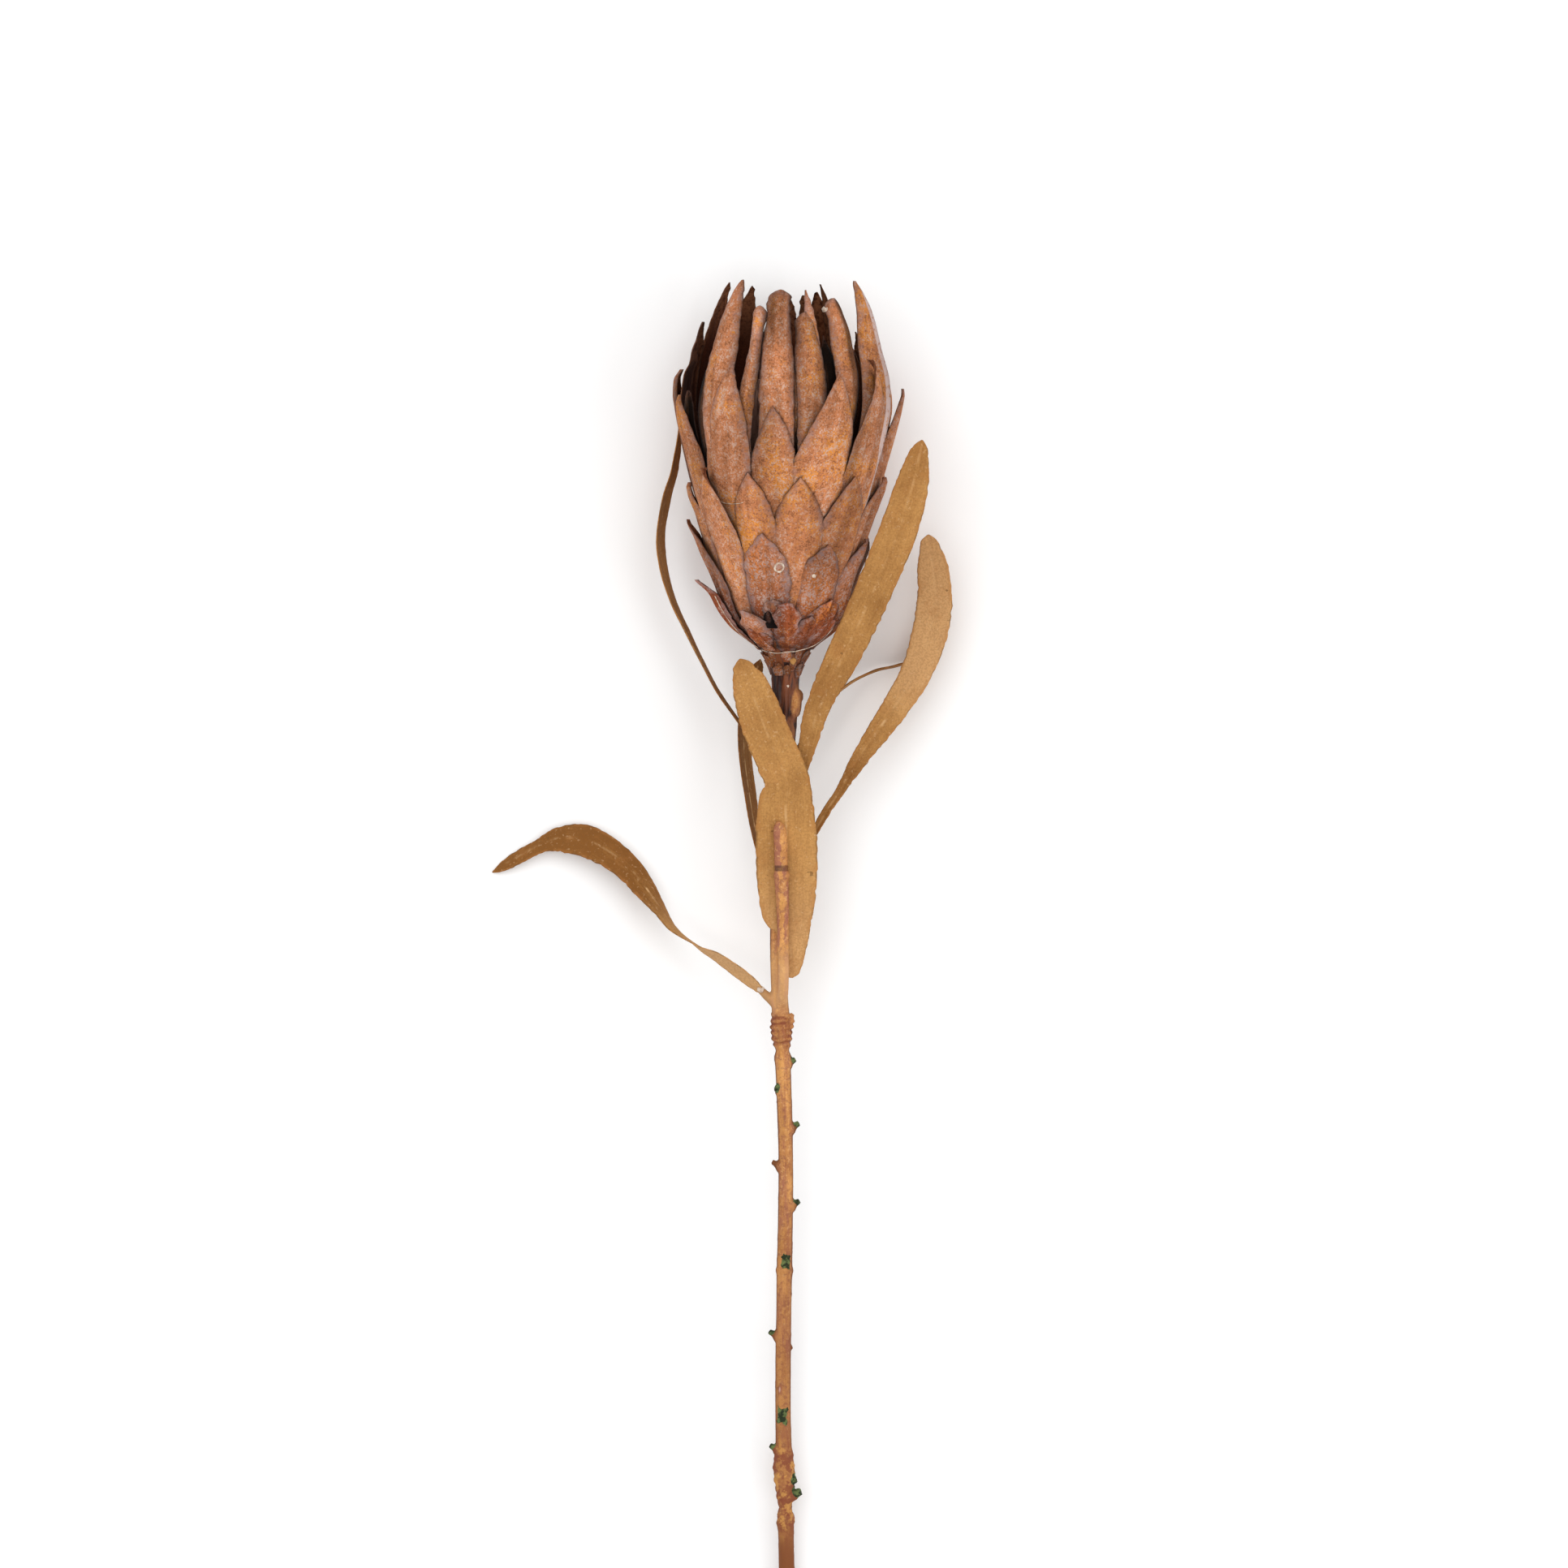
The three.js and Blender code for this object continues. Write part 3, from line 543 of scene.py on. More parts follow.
# Stations of each leaf from foot to tip, in the plant frame: x, y, z, half width to the left and to the
# right, in millimetres, and roll in degrees. Left and right are as seen along the leaf, its face up.
LEAVES = {
    "leaf_left_drooping": [
        (-7.6, -103.4, 0.2, 1.2, 1.2, 45), (-10.4, -101, -0.3, 3, 3, 54), (-15.6, -96.8, -1.2, 4.2, 4.2, 62),
        (-21.8, -92.7, -2.8, 4.8, 4.8, 69), (-28, -89.6, -4.8, 5, 5, 82), (-36, -83.8, -8, 5, 5, 97),
        (-40.5, -77.8, -10.6, 5, 5, 110), (-45, -71.6, -12.8, 5.1, 5.1, 128),
        (-50, -65.6, -14.6, 5.3, 5.3, 138), (-56.8, -60, -16, 5.5, 5.5, 145),
        (-64.8, -56.2, -17.4, 5.8, 5.8, 148), (-73, -55.9, -19, 4.5, 4.5, 144),
        (-79.6, -58.6, -20.4, 2.7, 2.7, 140), (-87.4, -63, -21.8, 2.4, 2.4, 140),
        (-94.4, -67.2, -23, 0.5, 0.5, 140),
    ],
    "leaf_front": [
        (1.6, -98.8, 3.8, 0.6, 0.6, 0), (1.9, -96, 4, 2.8, 3.1, 0), (1.6, -90, 4.3, 3.5, 4.8, 0),
        (1.2, -84, 4.4, 4, 6.6, 0), (0.6, -79.5, 4.4, 7.6, 7.9, 0), (0.5, -70, 4.6, 9.3, 9.3, 0),
        (0.3, -56, 5.4, 9.8, 9.8, 0), (0, -43, 7, 8.8, 8.8, -4), (0.3, -35.4, 8.2, 7.2, 7.4, -8),
        (-2.1, -29, 9, 7.2, 7.2, -10), (-5.7, -20.4, 9.8, 7.2, 7.2, -10), (-8.8, -12.2, 10, 6.8, 6.8, -8),
        (-11.4, -4.4, 9.6, 5.6, 5.6, -4), (-13.4, 0.6, 9, 3.4, 3.4, 0), (-14.6, 4, 8.4, 0.5, 0.5, 0),
    ],
    "leaf_left_back": [
        (-4.6, -67.6, -3.6, 1.2, 1.2, -66), (-7.4, -60.4, -6.2, 3.4, 3.4, -68),
        (-10.2, -50.7, -8.8, 4.8, 4.8, -70), (-11.9, -40.3, -10.6, 5.3, 5.3, -70),
        (-13.4, -28.9, -11.6, 5.5, 5.5, -70), (-13.5, -19.5, -12, 5.4, 5.4, -68),
        (-12.2, -9.6, -10.6, 4.6, 4.6, -62), (-9.9, -1.8, -9, 3.2, 3.2, -52), (-8, 2.6, -8.2, 0.5, 0.5, -50),
    ],
    "leaf_left_upper": [
        (-5.9, -30.6, -0.8, 1.3, 1.3, -68), (-11.2, -22.4, -2, 1.4, 1.4, -74),
        (-16.8, -14.6, -3.6, 1.8, 1.8, -80), (-21.8, -7.6, -5.4, 2.9, 2.9, -84),
        (-27.2, 2.2, -7.4, 4.2, 4.2, -85), (-32.2, 11.8, -9.2, 5.1, 5.1, -84),
        (-36.9, 22, -10.8, 5.7, 5.7, -82), (-39.9, 32.5, -12, 5.9, 5.9, -80),
        (-40.5, 42.9, -12.8, 5.9, 5.9, -78), (-38.8, 53.3, -13.4, 5.6, 5.6, -77),
        (-36.2, 62.4, -13.8, 4.6, 4.6, -76), (-34.6, 71.2, -14, 2.8, 2.8, -75),
        (-33.9, 78, -14, 0.5, 0.5, -74),
    ],
    "leaf_right_upper": [
        (4.3, -36.4, 2.6, 1.2, 1.2, 10), (6.4, -27.2, 4.3, 2.6, 2.4, 12), (8.7, -18.1, 6, 3.8, 3.2, 12),
        (12, -8.8, 8.2, 4.7, 3.6, 12), (17.6, 3.3, 10.8, 5.3, 5.3, 12), (24.2, 17.3, 13.2, 5.8, 5.8, 12),
        (31.3, 33.6, 15, 6, 6, 12), (36.5, 46.6, 15.6, 6, 6, 10), (40.2, 58.8, 15.4, 5.5, 5.2, 8),
        (42.4, 68.2, 14.8, 3.6, 3.2, 6), (43.6, 74.4, 14.2, 0.5, 0.5, 6),
    ],
    "leaf_right_lower": [
        (6.4, -57.2, -0.4, 1.2, 1.2, 20), (13.5, -45.2, -2.4, 1.4, 1.4, 22), (17.6, -38.9, -4, 1.3, 1.8, 22),
        (21.6, -31.9, -5.6, 2, 2.9, 22), (27.3, -23.5, -7.4, 3, 3.9, 20), (34.1, -14, -9.2, 3.9, 4.7, 18),
        (41.4, -2.4, -10.8, 4.8, 5.3, 16), (46, 9.1, -12, 5.7, 5.7, 14), (47.9, 20.7, -12.8, 5.7, 5.7, 12),
        (47.4, 31, -13.4, 5.1, 5.1, 12), (46.3, 38.4, -13.8, 3.2, 3.2, 12), (45.8, 42.4, -14, 0.5, 0.5, 12),
    ],
    "leaf_right_back": [
        (5, -25.4, -2.6, 1.2, 1.2, 88), (8.2, -17.4, -6.4, 2.4, 2.4, 92), (12, -12.2, -10, 3.2, 3.2, 94),
        (16.8, -8.4, -13.6, 4, 4, 94), (22.6, -4.6, -17, 4.5, 4.5, 94.5), (29.2, -1.8, -20, 4.8, 4.8, 94.5),
        (36, -0.5, -22.6, 4.9, 4.9, 94.5), (42.4, 1.6, -24.1, 4.7, 4.7, 94), (47.2, 6.6, -24.8, 3.8, 3.8, 92),
        (49.8, 13, -25.2, 2.4, 2.4, 91), (50.8, 18, -25.4, 0.5, 0.5, 90),
    ],
}
LEAF_TONES = {
    "leaf_left_drooping": (1.15, -0.08), "leaf_front": (1.0, 0.68), "leaf_left_back": (0.05, 0.07),
    "leaf_left_upper": (0.15, 0.5), "leaf_right_upper": (0.45, 0.66), "leaf_right_lower": (0.25, 1.1),
    "leaf_right_back": (0.4, 0.05),
}
LEAF_CHANNEL = 0.08       # rise of a leaf's edges above its midrib, as a share of the half width


def leaf_place(stations, t):
    return Vector([station_value(stations, t, column) for column in range(3)]) * MM


def leaf_shell(stations, tones, seed, sizes):
    """A leaf as a thin closed strap with a low midrib, faint ribs, soft swells and nibbled edges."""
    shell = Shell()
    last = len(stations) - 1
    steps = last * sizes.steps_between
    drift = seed * 5.3
    travelled = 0.0
    previous = leaf_place(stations, 0)
    rings = []
    for i in range(steps + 1):
        t = i / steps
        tone = tones[0] + (tones[1] - tones[0]) * smoothstep((t - 0.22) / 0.35)
        centre = leaf_place(stations, t)
        travelled += (centre - previous).length
        previous = centre
        along = (leaf_place(stations, t + 0.002) - leaf_place(stations, t - 0.002)).normalized()
        left, right, roll = (station_value(stations, t, column) for column in (3, 4, 5))
        left, right = rounded_end(stations, t, left, 3) * MM, rounded_end(stations, t, right, 4) * MM
        roll = math.radians(roll)
        up = Vector((0, 0, 1))
        up = (up - along * up.dot(along)).normalized()
        side = along.cross(up)
        sideways = side * math.cos(roll) + up * math.sin(roll)
        normal = up * math.cos(roll) - side * math.sin(roll)
        face, back = [], []
        for j in range(sizes.steps_across + 1):
            u = 2 * j / sizes.steps_across - 1
            half = left if u < 0 else right
            side_seed = 3 * (u > 0)
            torn = waver(travelled * 520, seed, side_seed) + 0.5 * waver(travelled * 150, seed, 11 + side_seed)
            half = max(0.1 * MM, half + sizes.ragged * torn * min(1, half * 400))
            offset = u * half
            rise = LEAF_CHANNEL * half * u * u
            swell = sizes.swell * waver(travelled * 55, offset * 60, drift)
            rise += swell * (0.3 + abs(u)) * min(1, half * 300)
            rise += 0.06 * MM * math.cos(offset * 5200 + waver(travelled * 30, seed, 5)) * (1 - u**4)
            rise -= 0.12 * MM * math.exp(-((offset / (0.5 * MM)) ** 2))
            thick = sizes.thickness * (1 - 0.45 * u * u)
            middle = centre + sideways * offset + normal * rise
            edge = max(abs(u) ** 9, smoothstep((t - 0.985) / 0.015), smoothstep((0.01 - t) / 0.01))
            lay = (offset, travelled, seed)
            face.append((middle + normal * thick / 2, (edge, 0.0, tone, t), lay))
            back.append((middle - normal * thick / 2, (edge, 1.0, tone, t), lay))
        rings.append(face + [edge_point(face[-1], back[-1], sideways)] + back[::-1]
                     + [edge_point(face[0], back[0], -sideways)])
    shell.add(rings)
    return shell


def edge_point(face, back, out):
    (point, mark, lay), (behind, _, _) = face, back
    return ((point + behind) / 2 + out * 0.1 * MM, (1.0, 0.5, mark[2], mark[3]), lay)


def rounded_end(stations, t, half_width, column):
    """A leaf's half width in millimetres, rounded off over its last station."""
    last = len(stations) - 1
    beyond = t * last - (last - 1)
    if beyond <= 0:
        return half_width
    return max(0.15, stations[last - 1][column] * (1 - beyond**1.7) ** 0.8)


# ------------------------------------------------------------------ stem

# Radius of the stem in millimetres: place along the plant frame's y, radius.
STEM_OUTLINE = [
    (-337, 2.6), (-300, 2.6), (-280.5, 2.5), (-277, 2.65), (-273.6, 2.85), (-271.3, 2.3), (-270.1, 1.9),
    (-268.9, 2.2), (-265, 2.9), (-261, 3.35), (-257, 3.4), (-253, 3), (-249.5, 2.6), (-215, 2.5),
    (-195, 2.55),
    (-193.6, 2.9), (-192, 2.5), (-160, 2.4), (-128, 2.5), (-124.5, 2.75), (-122.6, 2.1), (-121, 2.7),
    (-119, 3.15), (-116, 3.35), (-113.5, 3.2), (-111, 3), (-108, 2.75), (-95, 2.65), (-60, 2.7),
    (-35, 3.0), (-18, 3.6), (-8, 4.1), (0, 4.9),
    (6.5, 8), (8.5, 9.2), (11, 11), (14, 12.6), (17, 14), (19.5, 13.4), (20, 8),
]
STEM_BENDS = [
    (-337, 0.8, 0), (-288, 0.3, 0.2), (-238, -0.8, 0.5), (-201, -0.5, 0.2), (-160, 0.1, -0.3),
    (-123, -1, -0.2), (-100, -2.1, 0), (-82, -2.3, 0.2), (-50, -1.2, 0.2), (-18, -0.3, 0), (0, 0, 0),
]
# Stubs of old leaves: place along y, turn in degrees, length, radius, and how green the cut end is.
STUBS = [
    (-127.4, 90, 1.5, 0.9, 0.8), (-135.5, -62, 0.7, 1.0, 0.9), (-148.6, 95, 2.0, 1, 1),
    (-161, -90, 2.0, 0.9, 0),
    (-173.6, 85, 2.0, 1, 1), (-215.8, -90, 2.1, 0.9, 1), (-219, 100, 0.5, 0.7, 0), (-252.5, -85, 2, 0.9, 1),
    (-268, 78, 2.6, 1.4, 1), (-263, 70, 1.6, 1.2, 1), (-180, 180, 1.6, 0.9, 1), (-229, 170, 1.6, 1, 1),
    (-140, 200, 1.5, 0.9, 0.5),
]
# Green patches on the bark: y, turn, half length along the stem, half width round it, and how far their
# points stand out.
GREEN_PATCHES = [(-190.4, 12, 2.6, 2.0, 0.15), (-240.4, -8, 3.0, 2.2, 0.3)]
STUB_SLANT = 1.25
ROOT_FLARE = 1.2
STUB_FLARE = 2.3
# Knobs on the stem and its neck: x, y, z of the middle, half length and half width.
KNOBS = [
    (3.7, -11.0, 1.8, 4.6, 1.5), (4.3, -8.6, 1.0, 2.0, 1.1), (2.4, 4.2, 5.2, 1.3, 1.2),
    (-3.4, -14, 2.6, 3.5, 1.2), (1.6, -20, 3.2, 4, 1.1),
    (-1.6, -117, 2.9, 2.6, 1.1), (1.8, -113, 2.4, 3.0, 1.0), (0.4, -255.5, 2.6, 3.2, 1.3),
    (-0.8, -263.5, 2.6, 2.0, 1.2), (1.4, -259, 2.6, 2.2, 1.1), (-2.0, -258, 1.8, 2.2, 1.1),
]
# Where each leaf's peg leaves the stem, and its radius.
LEAF_PEGS = {
    "leaf_left_drooping": (-109, 1.6), "leaf_left_back": (-78, 1.3), "leaf_left_upper": (-41, 1.3),
    "leaf_right_upper": (-48, 1.3), "leaf_right_lower": (-67, 1.5), "leaf_right_back": (-35, 1.3),
}
# The twig that lies on the front leaf: x, y, z, radius.
FRONT_TWIG = [
    (-1.9, -109, 0, 1.9), (-1, -104.8, 4, 1.8), (-0.6, -100, 6.6, 1.7), (-0.7, -90, 6.8, 1.8),
    (-0.9, -78, 6.9, 2), (-1.2, -67.5, 7.2, 2.3), (-1.2, -65.5, 7.4, 2.75), (-1.3, -63.5, 7.3, 2.2),
    (-1.6, -54, 7.7, 2.2), (-2, -50.2, 8, 1.9), (-2.3, -48.2, 8.2, 0.8),
]
# The two collars: where they start and end along y, the height of their rings, and of their knots.
COLLARS = [(-122, -109.5, 0.24, 0.35), (-278, -251, 0.03, 0.4)]
STEM_VOXEL = 0.37 * MM


def stem_centre(y):
    at = min(0, y)
    return Vector((read_table(STEM_BENDS, at, 1), y, read_table(STEM_BENDS, at, 2))) * MM


def stem_line():
    low, high = STEM_OUTLINE[0][0], STEM_OUTLINE[-1][0]
    count = int((high - low) / 0.7)
    return [low + (high - low) * i / count for i in range(count + 1)]


def stem_shell():
    shell = Shell()
    places = stem_line()
    radii = [read_table(STEM_OUTLINE, y, 1) * MM for y in places]
    shell.add(tube_rings([stem_centre(y) for y in places], radii, 24))
    for y, turn, length, radius, _ in STUBS:
        root = stem_centre(y)
        end = root + around_axis(length * STUB_SLANT * MM, STEM_RADIUS + length * MM, math.radians(turn))
        line = [root.lerp(end, k / 10) for k in range(11)]
        reach = STEM_RADIUS + length * MM
        beyond = [clamp01((reach * k / 10 - 0.8 * STEM_RADIUS) / (length * MM)) for k in range(11)]
        flare = (STUB_FLARE if radius < 1.2 else ROOT_FLARE) - 1
        shell.add(tube_rings(line, [radius * MM * (1 + flare * (1 - b) ** 2) for b in beyond], 12))
    for x, y, z, length, width in KNOBS:
        line = [Vector((x, y + length * k / 5, z)) * MM for k in range(-5, 6)]
        shell.add(tube_rings(line, [width * MM * math.sqrt(1.02 - (k / 5) ** 2) for k in range(-5, 6)], 12))
    for leaf, (start, radius) in LEAF_PEGS.items():
        root = stem_centre(start)
        foot = leaf_place(LEAVES[leaf], 0.02)
        line = [root.lerp(foot, k / 8) for k in range(9)]
        radii = [radius * MM * (ROOT_FLARE + (0.75 - ROOT_FLARE) * k / 8) for k in range(9)]
        shell.add(tube_rings(line, radii, 12))
    steps = 6 * (len(FRONT_TWIG) - 1)
    twig = [leaf_place(FRONT_TWIG, k / steps) for k in range(steps + 1)]
    shell.add(tube_rings(twig, [station_value(FRONT_TWIG, k / steps, 3) * MM for k in range(steps + 1)], 14))
    return shell


def along_stem(point):
    """Place of a point in the plant frame: y in millimetres, turn and distance from the stem's centre."""
    local = LEVEL @ point - NECK
    away = local - stem_centre(local.y / MM)
    return local, local.y / MM, math.atan2(away.x, away.z), math.hypot(away.x, away.z)


def collar_rings(y, turn):
    return math.sin(y * 3.1 + waver(math.sin(turn), math.cos(turn), y * 0.2) * 2.5)


def collar_knots(y, turn):
    return waver(math.sin(turn) * 1.6, math.cos(turn) * 1.6, y * 0.55 + 8)


def bark_rise(y, turn):
    """How far the bark stands out: long fibres, warts, and wrinkles round the two collars."""
    fibres = 0.10 * waver(math.sin(turn) * 3.2, math.cos(turn) * 3.2, y * 0.06)
    warts = 0.16 * max(0, waver(math.sin(turn) * 1.4, math.cos(turn) * 1.4, y * 0.45) - 0.25)
    wrinkles = 0.0
    for low, high, ring_height, knot_height in COLLARS:
        inside = smoothstep((y - low) / 2) * smoothstep((high - y) / 2)
        wrinkles += inside * (ring_height * collar_rings(y, turn) + knot_height * collar_knots(y, turn))
    ridges = 0.0
    if y > -40:
        near_neck = smoothstep((y + 40) / 15)
        ridges = 0.3 * near_neck * (1 - smoothstep((y + 7) / 8)) * math.cos(turn * 9 + y * 0.05)
        ridges += 0.2 * near_neck * waver(math.sin(turn) * 3, math.cos(turn) * 3, y * 0.25)
    return (fibres + warts + wrinkles + ridges) * MM


def bark_marks(local, y, turn, away):
    """Marks of the stem's material: green cut ends, dark neck, mauve blush and pale collars."""
    green = 0.0
    for place, stub_turn, length, radius, greenness in STUBS:
        root = stem_centre(place)
        out = around_axis(length * STUB_SLANT * MM, STEM_RADIUS + length * 0.8 * MM, math.radians(stub_turn))
        end = root + out
        reach = radius * 1.7 * MM + 0.3 * MM
        wobble = 0.3 * MM * waver(local.x * 700, local.y * 700, local.z * 700)
        green = max(green, greenness * smoothstep((reach + wobble - (local - end).length) / (0.5 * MM)))
    for middle, patch_turn, length, width, points in GREEN_PATCHES:
        around = (turn - math.radians(patch_turn)) * STEM_RADIUS / MM
        spread = math.hypot((y - middle) / length, around / width)
        spread *= 1 - points * math.cos(4 * math.atan2(around / width, (y - middle) / length) + 2.6)
        green = max(green, smoothstep((1 + 0.3 * waver(around * 0.8, y * 0.8, 7) - spread) / 0.25))
    neck = smoothstep((y + 44) / 14) * (1 - smoothstep((y - 7) / 7))
    mauve = clamp01(0.5 + 1.3 * waver(math.sin(turn) * 1.2, math.cos(turn) * 1.2, y * 0.06 + 3))
    smear = math.hypot((y + 231.8) / 3.2, (turn + 0.45) * STEM_RADIUS / MM / 1.0)
    mauve += 5 * (1 - smoothstep(smear))
    if y < -46 and local.z > 5.2 * MM:
        beside = local.x / MM + 1.0 + 0.02 * max(0, y + 90) + 0.5 * waver(y * 0.4, 3, 1)
        pink = beside < 0 if y > -63 else abs(beside) > 0.8
        mauve = 2.5 if pink else 0.0
        neck = 0.7 * smoothstep((1.2 - abs(y + 63.2)) / 0.5)
    collar = max(smoothstep((y - low) / 3) * smoothstep((high - y) / 3) for low, high, _, _ in COLLARS)
    # Partly painted shade: the collars' dark red gathers in the hollows between their rings and knots.
    hollow = collar_knots(y, turn) if y < -200 else 0.9 * collar_rings(y, turn) - 0.1
    collar *= clamp01(0.55 - 1.5 * hollow)
    for x, middle, z, length, width in KNOBS:
        across, up = (local.x / MM - x) ** 2 / 4, (local.z / MM - z) ** 2 / 4
        near = across + (y - middle) ** 2 / (length + 0.5) ** 2 + up
        if near < 1.6 and away > 3.2 * MM:
            neck *= (0.45 if x < 3 else 0.1) + 0.55 * smoothstep((near - 0.9) / 0.7)
            collar = max(0.3 * collar, 0.7 * (y > -40)) if x < 3 else 0.0
    return (green, neck, mauve, collar)


def remeshed(shell, voxel, name):
    """The parts of a shell melted into one skin of even quads."""
    mesh = bpy.data.meshes.new(name)
    mesh.from_pydata(shell.points, [], shell.faces)
    body = bpy.data.objects.new(name, mesh)
    bpy.context.scene.collection.objects.link(body)
    melt = body.modifiers.new("melt", "REMESH")
    melt.mode = "VOXEL"
    melt.voxel_size = voxel
    soften = body.modifiers.new("soften", "SMOOTH")
    soften.factor = 0.5
    soften.iterations = 3
    graph = bpy.context.evaluated_depsgraph_get()
    result = bpy.data.meshes.new_from_object(body.evaluated_get(graph))
    bpy.data.objects.remove(body)
    bpy.data.meshes.remove(mesh)
    result.name = name
    return result


# ------------------------------------------------------------------ florets

FLORET_OUTLINE = [
    (20.3, 11.5), (24, 13.2), (32, 15.5), (45, 18.5), (60, 20.5), (75, 20.5), (86, 17), (93, 11), (97, 4),
]
FLORET_LENGTH = 34 * MM
FLORET_TOP, FLORET_RIM = 97 * MM, 66 * MM     # height of the dome's middle and of its border
FLORET_SPREAD = 19.6      # radius of the dome in millimetres
GOLDEN_ANGLE = math.radians(137.508)


def floret_shell(count):
    """Slim pointed florets, packed upright round the axis, with their tips on a dome, on a plain core."""
    shell = Shell()
    core = [Vector((0, y * MM, 0)) for y, _ in FLORET_OUTLINE]
    radii = [max(1.0, radius - 2.2) * MM for _, radius in FLORET_OUTLINE]
    core[-1].y -= 4 * MM
    shell.add(tube_rings(core, radii, 24, tone=0.0))
    dice = random.Random(12)
    for i in range(count):
        share = math.sqrt((i + 0.5) / count)
        turn = i * GOLDEN_ANGLE
        radius = share * FLORET_SPREAD * MM
        tip_height = (FLORET_RIM + (FLORET_TOP - FLORET_RIM) * math.sqrt(max(0, 1 - share**2.4))
                      + dice.uniform(-2, 1.5) * MM)
        lean = dice.uniform(-0.8, 0.8) * MM
        line = []
        for k in range(7):
            s = k / 6
            height = tip_height - FLORET_LENGTH * (1 - s)
            out = radius * (0.86 + 0.14 * s) + lean * s * s
            line.append(around_axis(height, out, turn + 0.05 * s * lean / MM))
        thick = dice.uniform(0.75, 1.0) * MM
        radii = [thick * (0.9, 1.0, 1.0, 1.05, 1.15, 0.8, 0.12)[k] for k in range(7)]
        shell.add(tube_rings(line, radii, 6, tone=dice.random(), seed=i * 0.1))
    return shell


# ------------------------------------------------------------------ small scales on the neck

NECK_SCALES = [(6.2, 13, 4.2), (3.4, 11, 3.6), (0.4, 8, 3.2)]   # top height, how many, length


def scale_shell():
    """Small papery scales under the lowest bracts, lying against the cone of the neck."""
    shell = Shell()
    dice = random.Random(5)
    for row, (top, count, length) in enumerate(NECK_SCALES):
        for i in range(count):
            turn = 2 * math.pi * (i + 0.5 * (row % 2) + dice.uniform(-0.35, 0.35)) / count
            tip = top + dice.uniform(-1.4, 1.5)
            broad = dice.uniform(0.75, 1.25)
            tone = dice.uniform(-0.15, 0.35)
            rings = []
            for k in range(9):
                s = k / 8
                height = tip - length * (1 - s)
                radius = read_table(STEM_OUTLINE, height, 1) + 0.2 + 0.45 * s
                shape = (0.62 + 0.38 * smoothstep(s * 2)) * math.sqrt(max(0.01, 1 - s**2.6))
                width = shape * math.pi * radius / count * broad
                face, back = [], []
                for j in range(7):
                    u = 2 * j / 6 - 1
                    at = turn + u * width / radius
                    bulge = 0.25 * (1 - u * u) - 0.15 * s * abs(u)
                    # Painted light: lighter where the scale bulges, darker towards its sides.
                    light = brightness(tone + 0.5 * bulge)
                    mark = (max(abs(u) ** 5, smoothstep((s - 0.85) / 0.15)) * 0.9, 0.0, light, s)
                    lay = (u * width * MM, height * MM, i)
                    face.append((around_axis(height * MM, (radius + bulge) * MM, at), mark, lay))
                    back.append((around_axis(height * MM, (radius + bulge - 0.3) * MM, at), mark, lay))
                rings.append(face + back[::-1])
            shell.add(rings)
    return shell


# ------------------------------------------------------------------ painted crevice shade

FELTED = ("velvet_", "innermost_", "base_scale", "neck_scales")
# Painted shade: the velvet's tone mark is darkened where other surfaces stand close over it, as in a crevice.
CREVICE_REACH = 7 * MM    # how near another surface has to stand to darken a place
CREVICE_RAYS = 7
CREVICE_SHADE = 0.93
OPEN_ROWS = ("velvet_base", "velvet_lower", "velvet_middle", "base_scale")
OPEN_ROW_SHADE = 0.4           # how far crevices darken the rows that lie flat on one another


def paint_crevice_shade(mesh, tree, dark):
    """Paints shade into a mesh: lowers its tone mark by how much of the near space over it is filled."""
    marks = mesh.attributes["marks"].data
    for vertex, mark in zip(mesh.vertices, marks):
        edge, inner, tone, height = mark.color
        normal = vertex.normal
        side = normal.orthogonal().normalized()
        other = normal.cross(side)
        start = vertex.co + normal * 0.15 * MM
        filled = 0.0
        for k in range(CREVICE_RAYS):
            angle = 2 * math.pi * k / CREVICE_RAYS
            way = normal * 0.55 + spoke(side, other, angle) * 0.83
            distance = tree.ray_cast(start, way, CREVICE_REACH)[3]
            if distance is not None:
                filled += (1 - distance / CREVICE_REACH) / CREVICE_RAYS
        mark.color = (edge, inner, tone * (1 - dark * smoothstep((filled - 0.22) / 0.5)), height)


# ------------------------------------------------------------------ scars and glue

# Small marks seen from above: x and y in the plant frame, radius, height, whether it is a ring, material.
SCARS = {
    "cream_ring_scar": (-2.1, 34.3, 1.45, 0.35, True, "glue"),
    "right_ring_scar": (13.4, 38.0, 1.1, 0.3, True, "low velvet"),
    "pale_dot": (9.1, 31.7, 0.75, 0.35, False, "glue"),
    "straw_bit": (12.5, 117.0, 1.2, 0.4, False, "glue"),
    "neck_glue_dot": (0.8, -5.2, 0.5, 0.35, False, "glue"),
    "cone_bump": (2.3, 4.6, 1.1, 0.8, False, "dry leaf"),
    "foot_glue_dab": (-8.0, -102.6, 1.2, 0.5, False, "glue"),
}
# Pale threads that lie on the bracts: radius in millimetres, and x and y of its points in the plant frame.
THREADS = {
    "rim_thread": (0.15, [
        (-22.6, 25.5), (-20, 20.5), (-16.6, 15.6), (-13, 12), (-9.6, 9.4), (-6, 7.6), (-2, 7.2), (2, 7.6),
        (6, 8.4), (9.4, 9.8), (12.4, 12), (15, 15),
    ]),
    "slit_thread": (0.1, [(-23.4, 58), (-21.8, 56.2), (-19.5, 55), (-16.5, 54.6), (-13.6, 55)]),
}


def top_surface(pieces, x, y):
    """Highest point of the pieces over a place of the plant frame, and the way it faces."""
    start = placed(Vector((x * MM, y * MM, (25 if y > 0 else 2) * MM)))
    start.z = 0.2
    hits = [piece.ray_cast(start, Vector((0, 0, -1))) for piece in pieces]
    hits = [(location, normal) for hit, location, normal, _ in hits if hit]
    if not hits:
        raise RuntimeError("a scar has nothing to lie on")
    location, normal = max(hits, key=lambda hit: hit[0].z)
    return LEVEL @ location - NECK, (LEVEL @ normal).normalized()


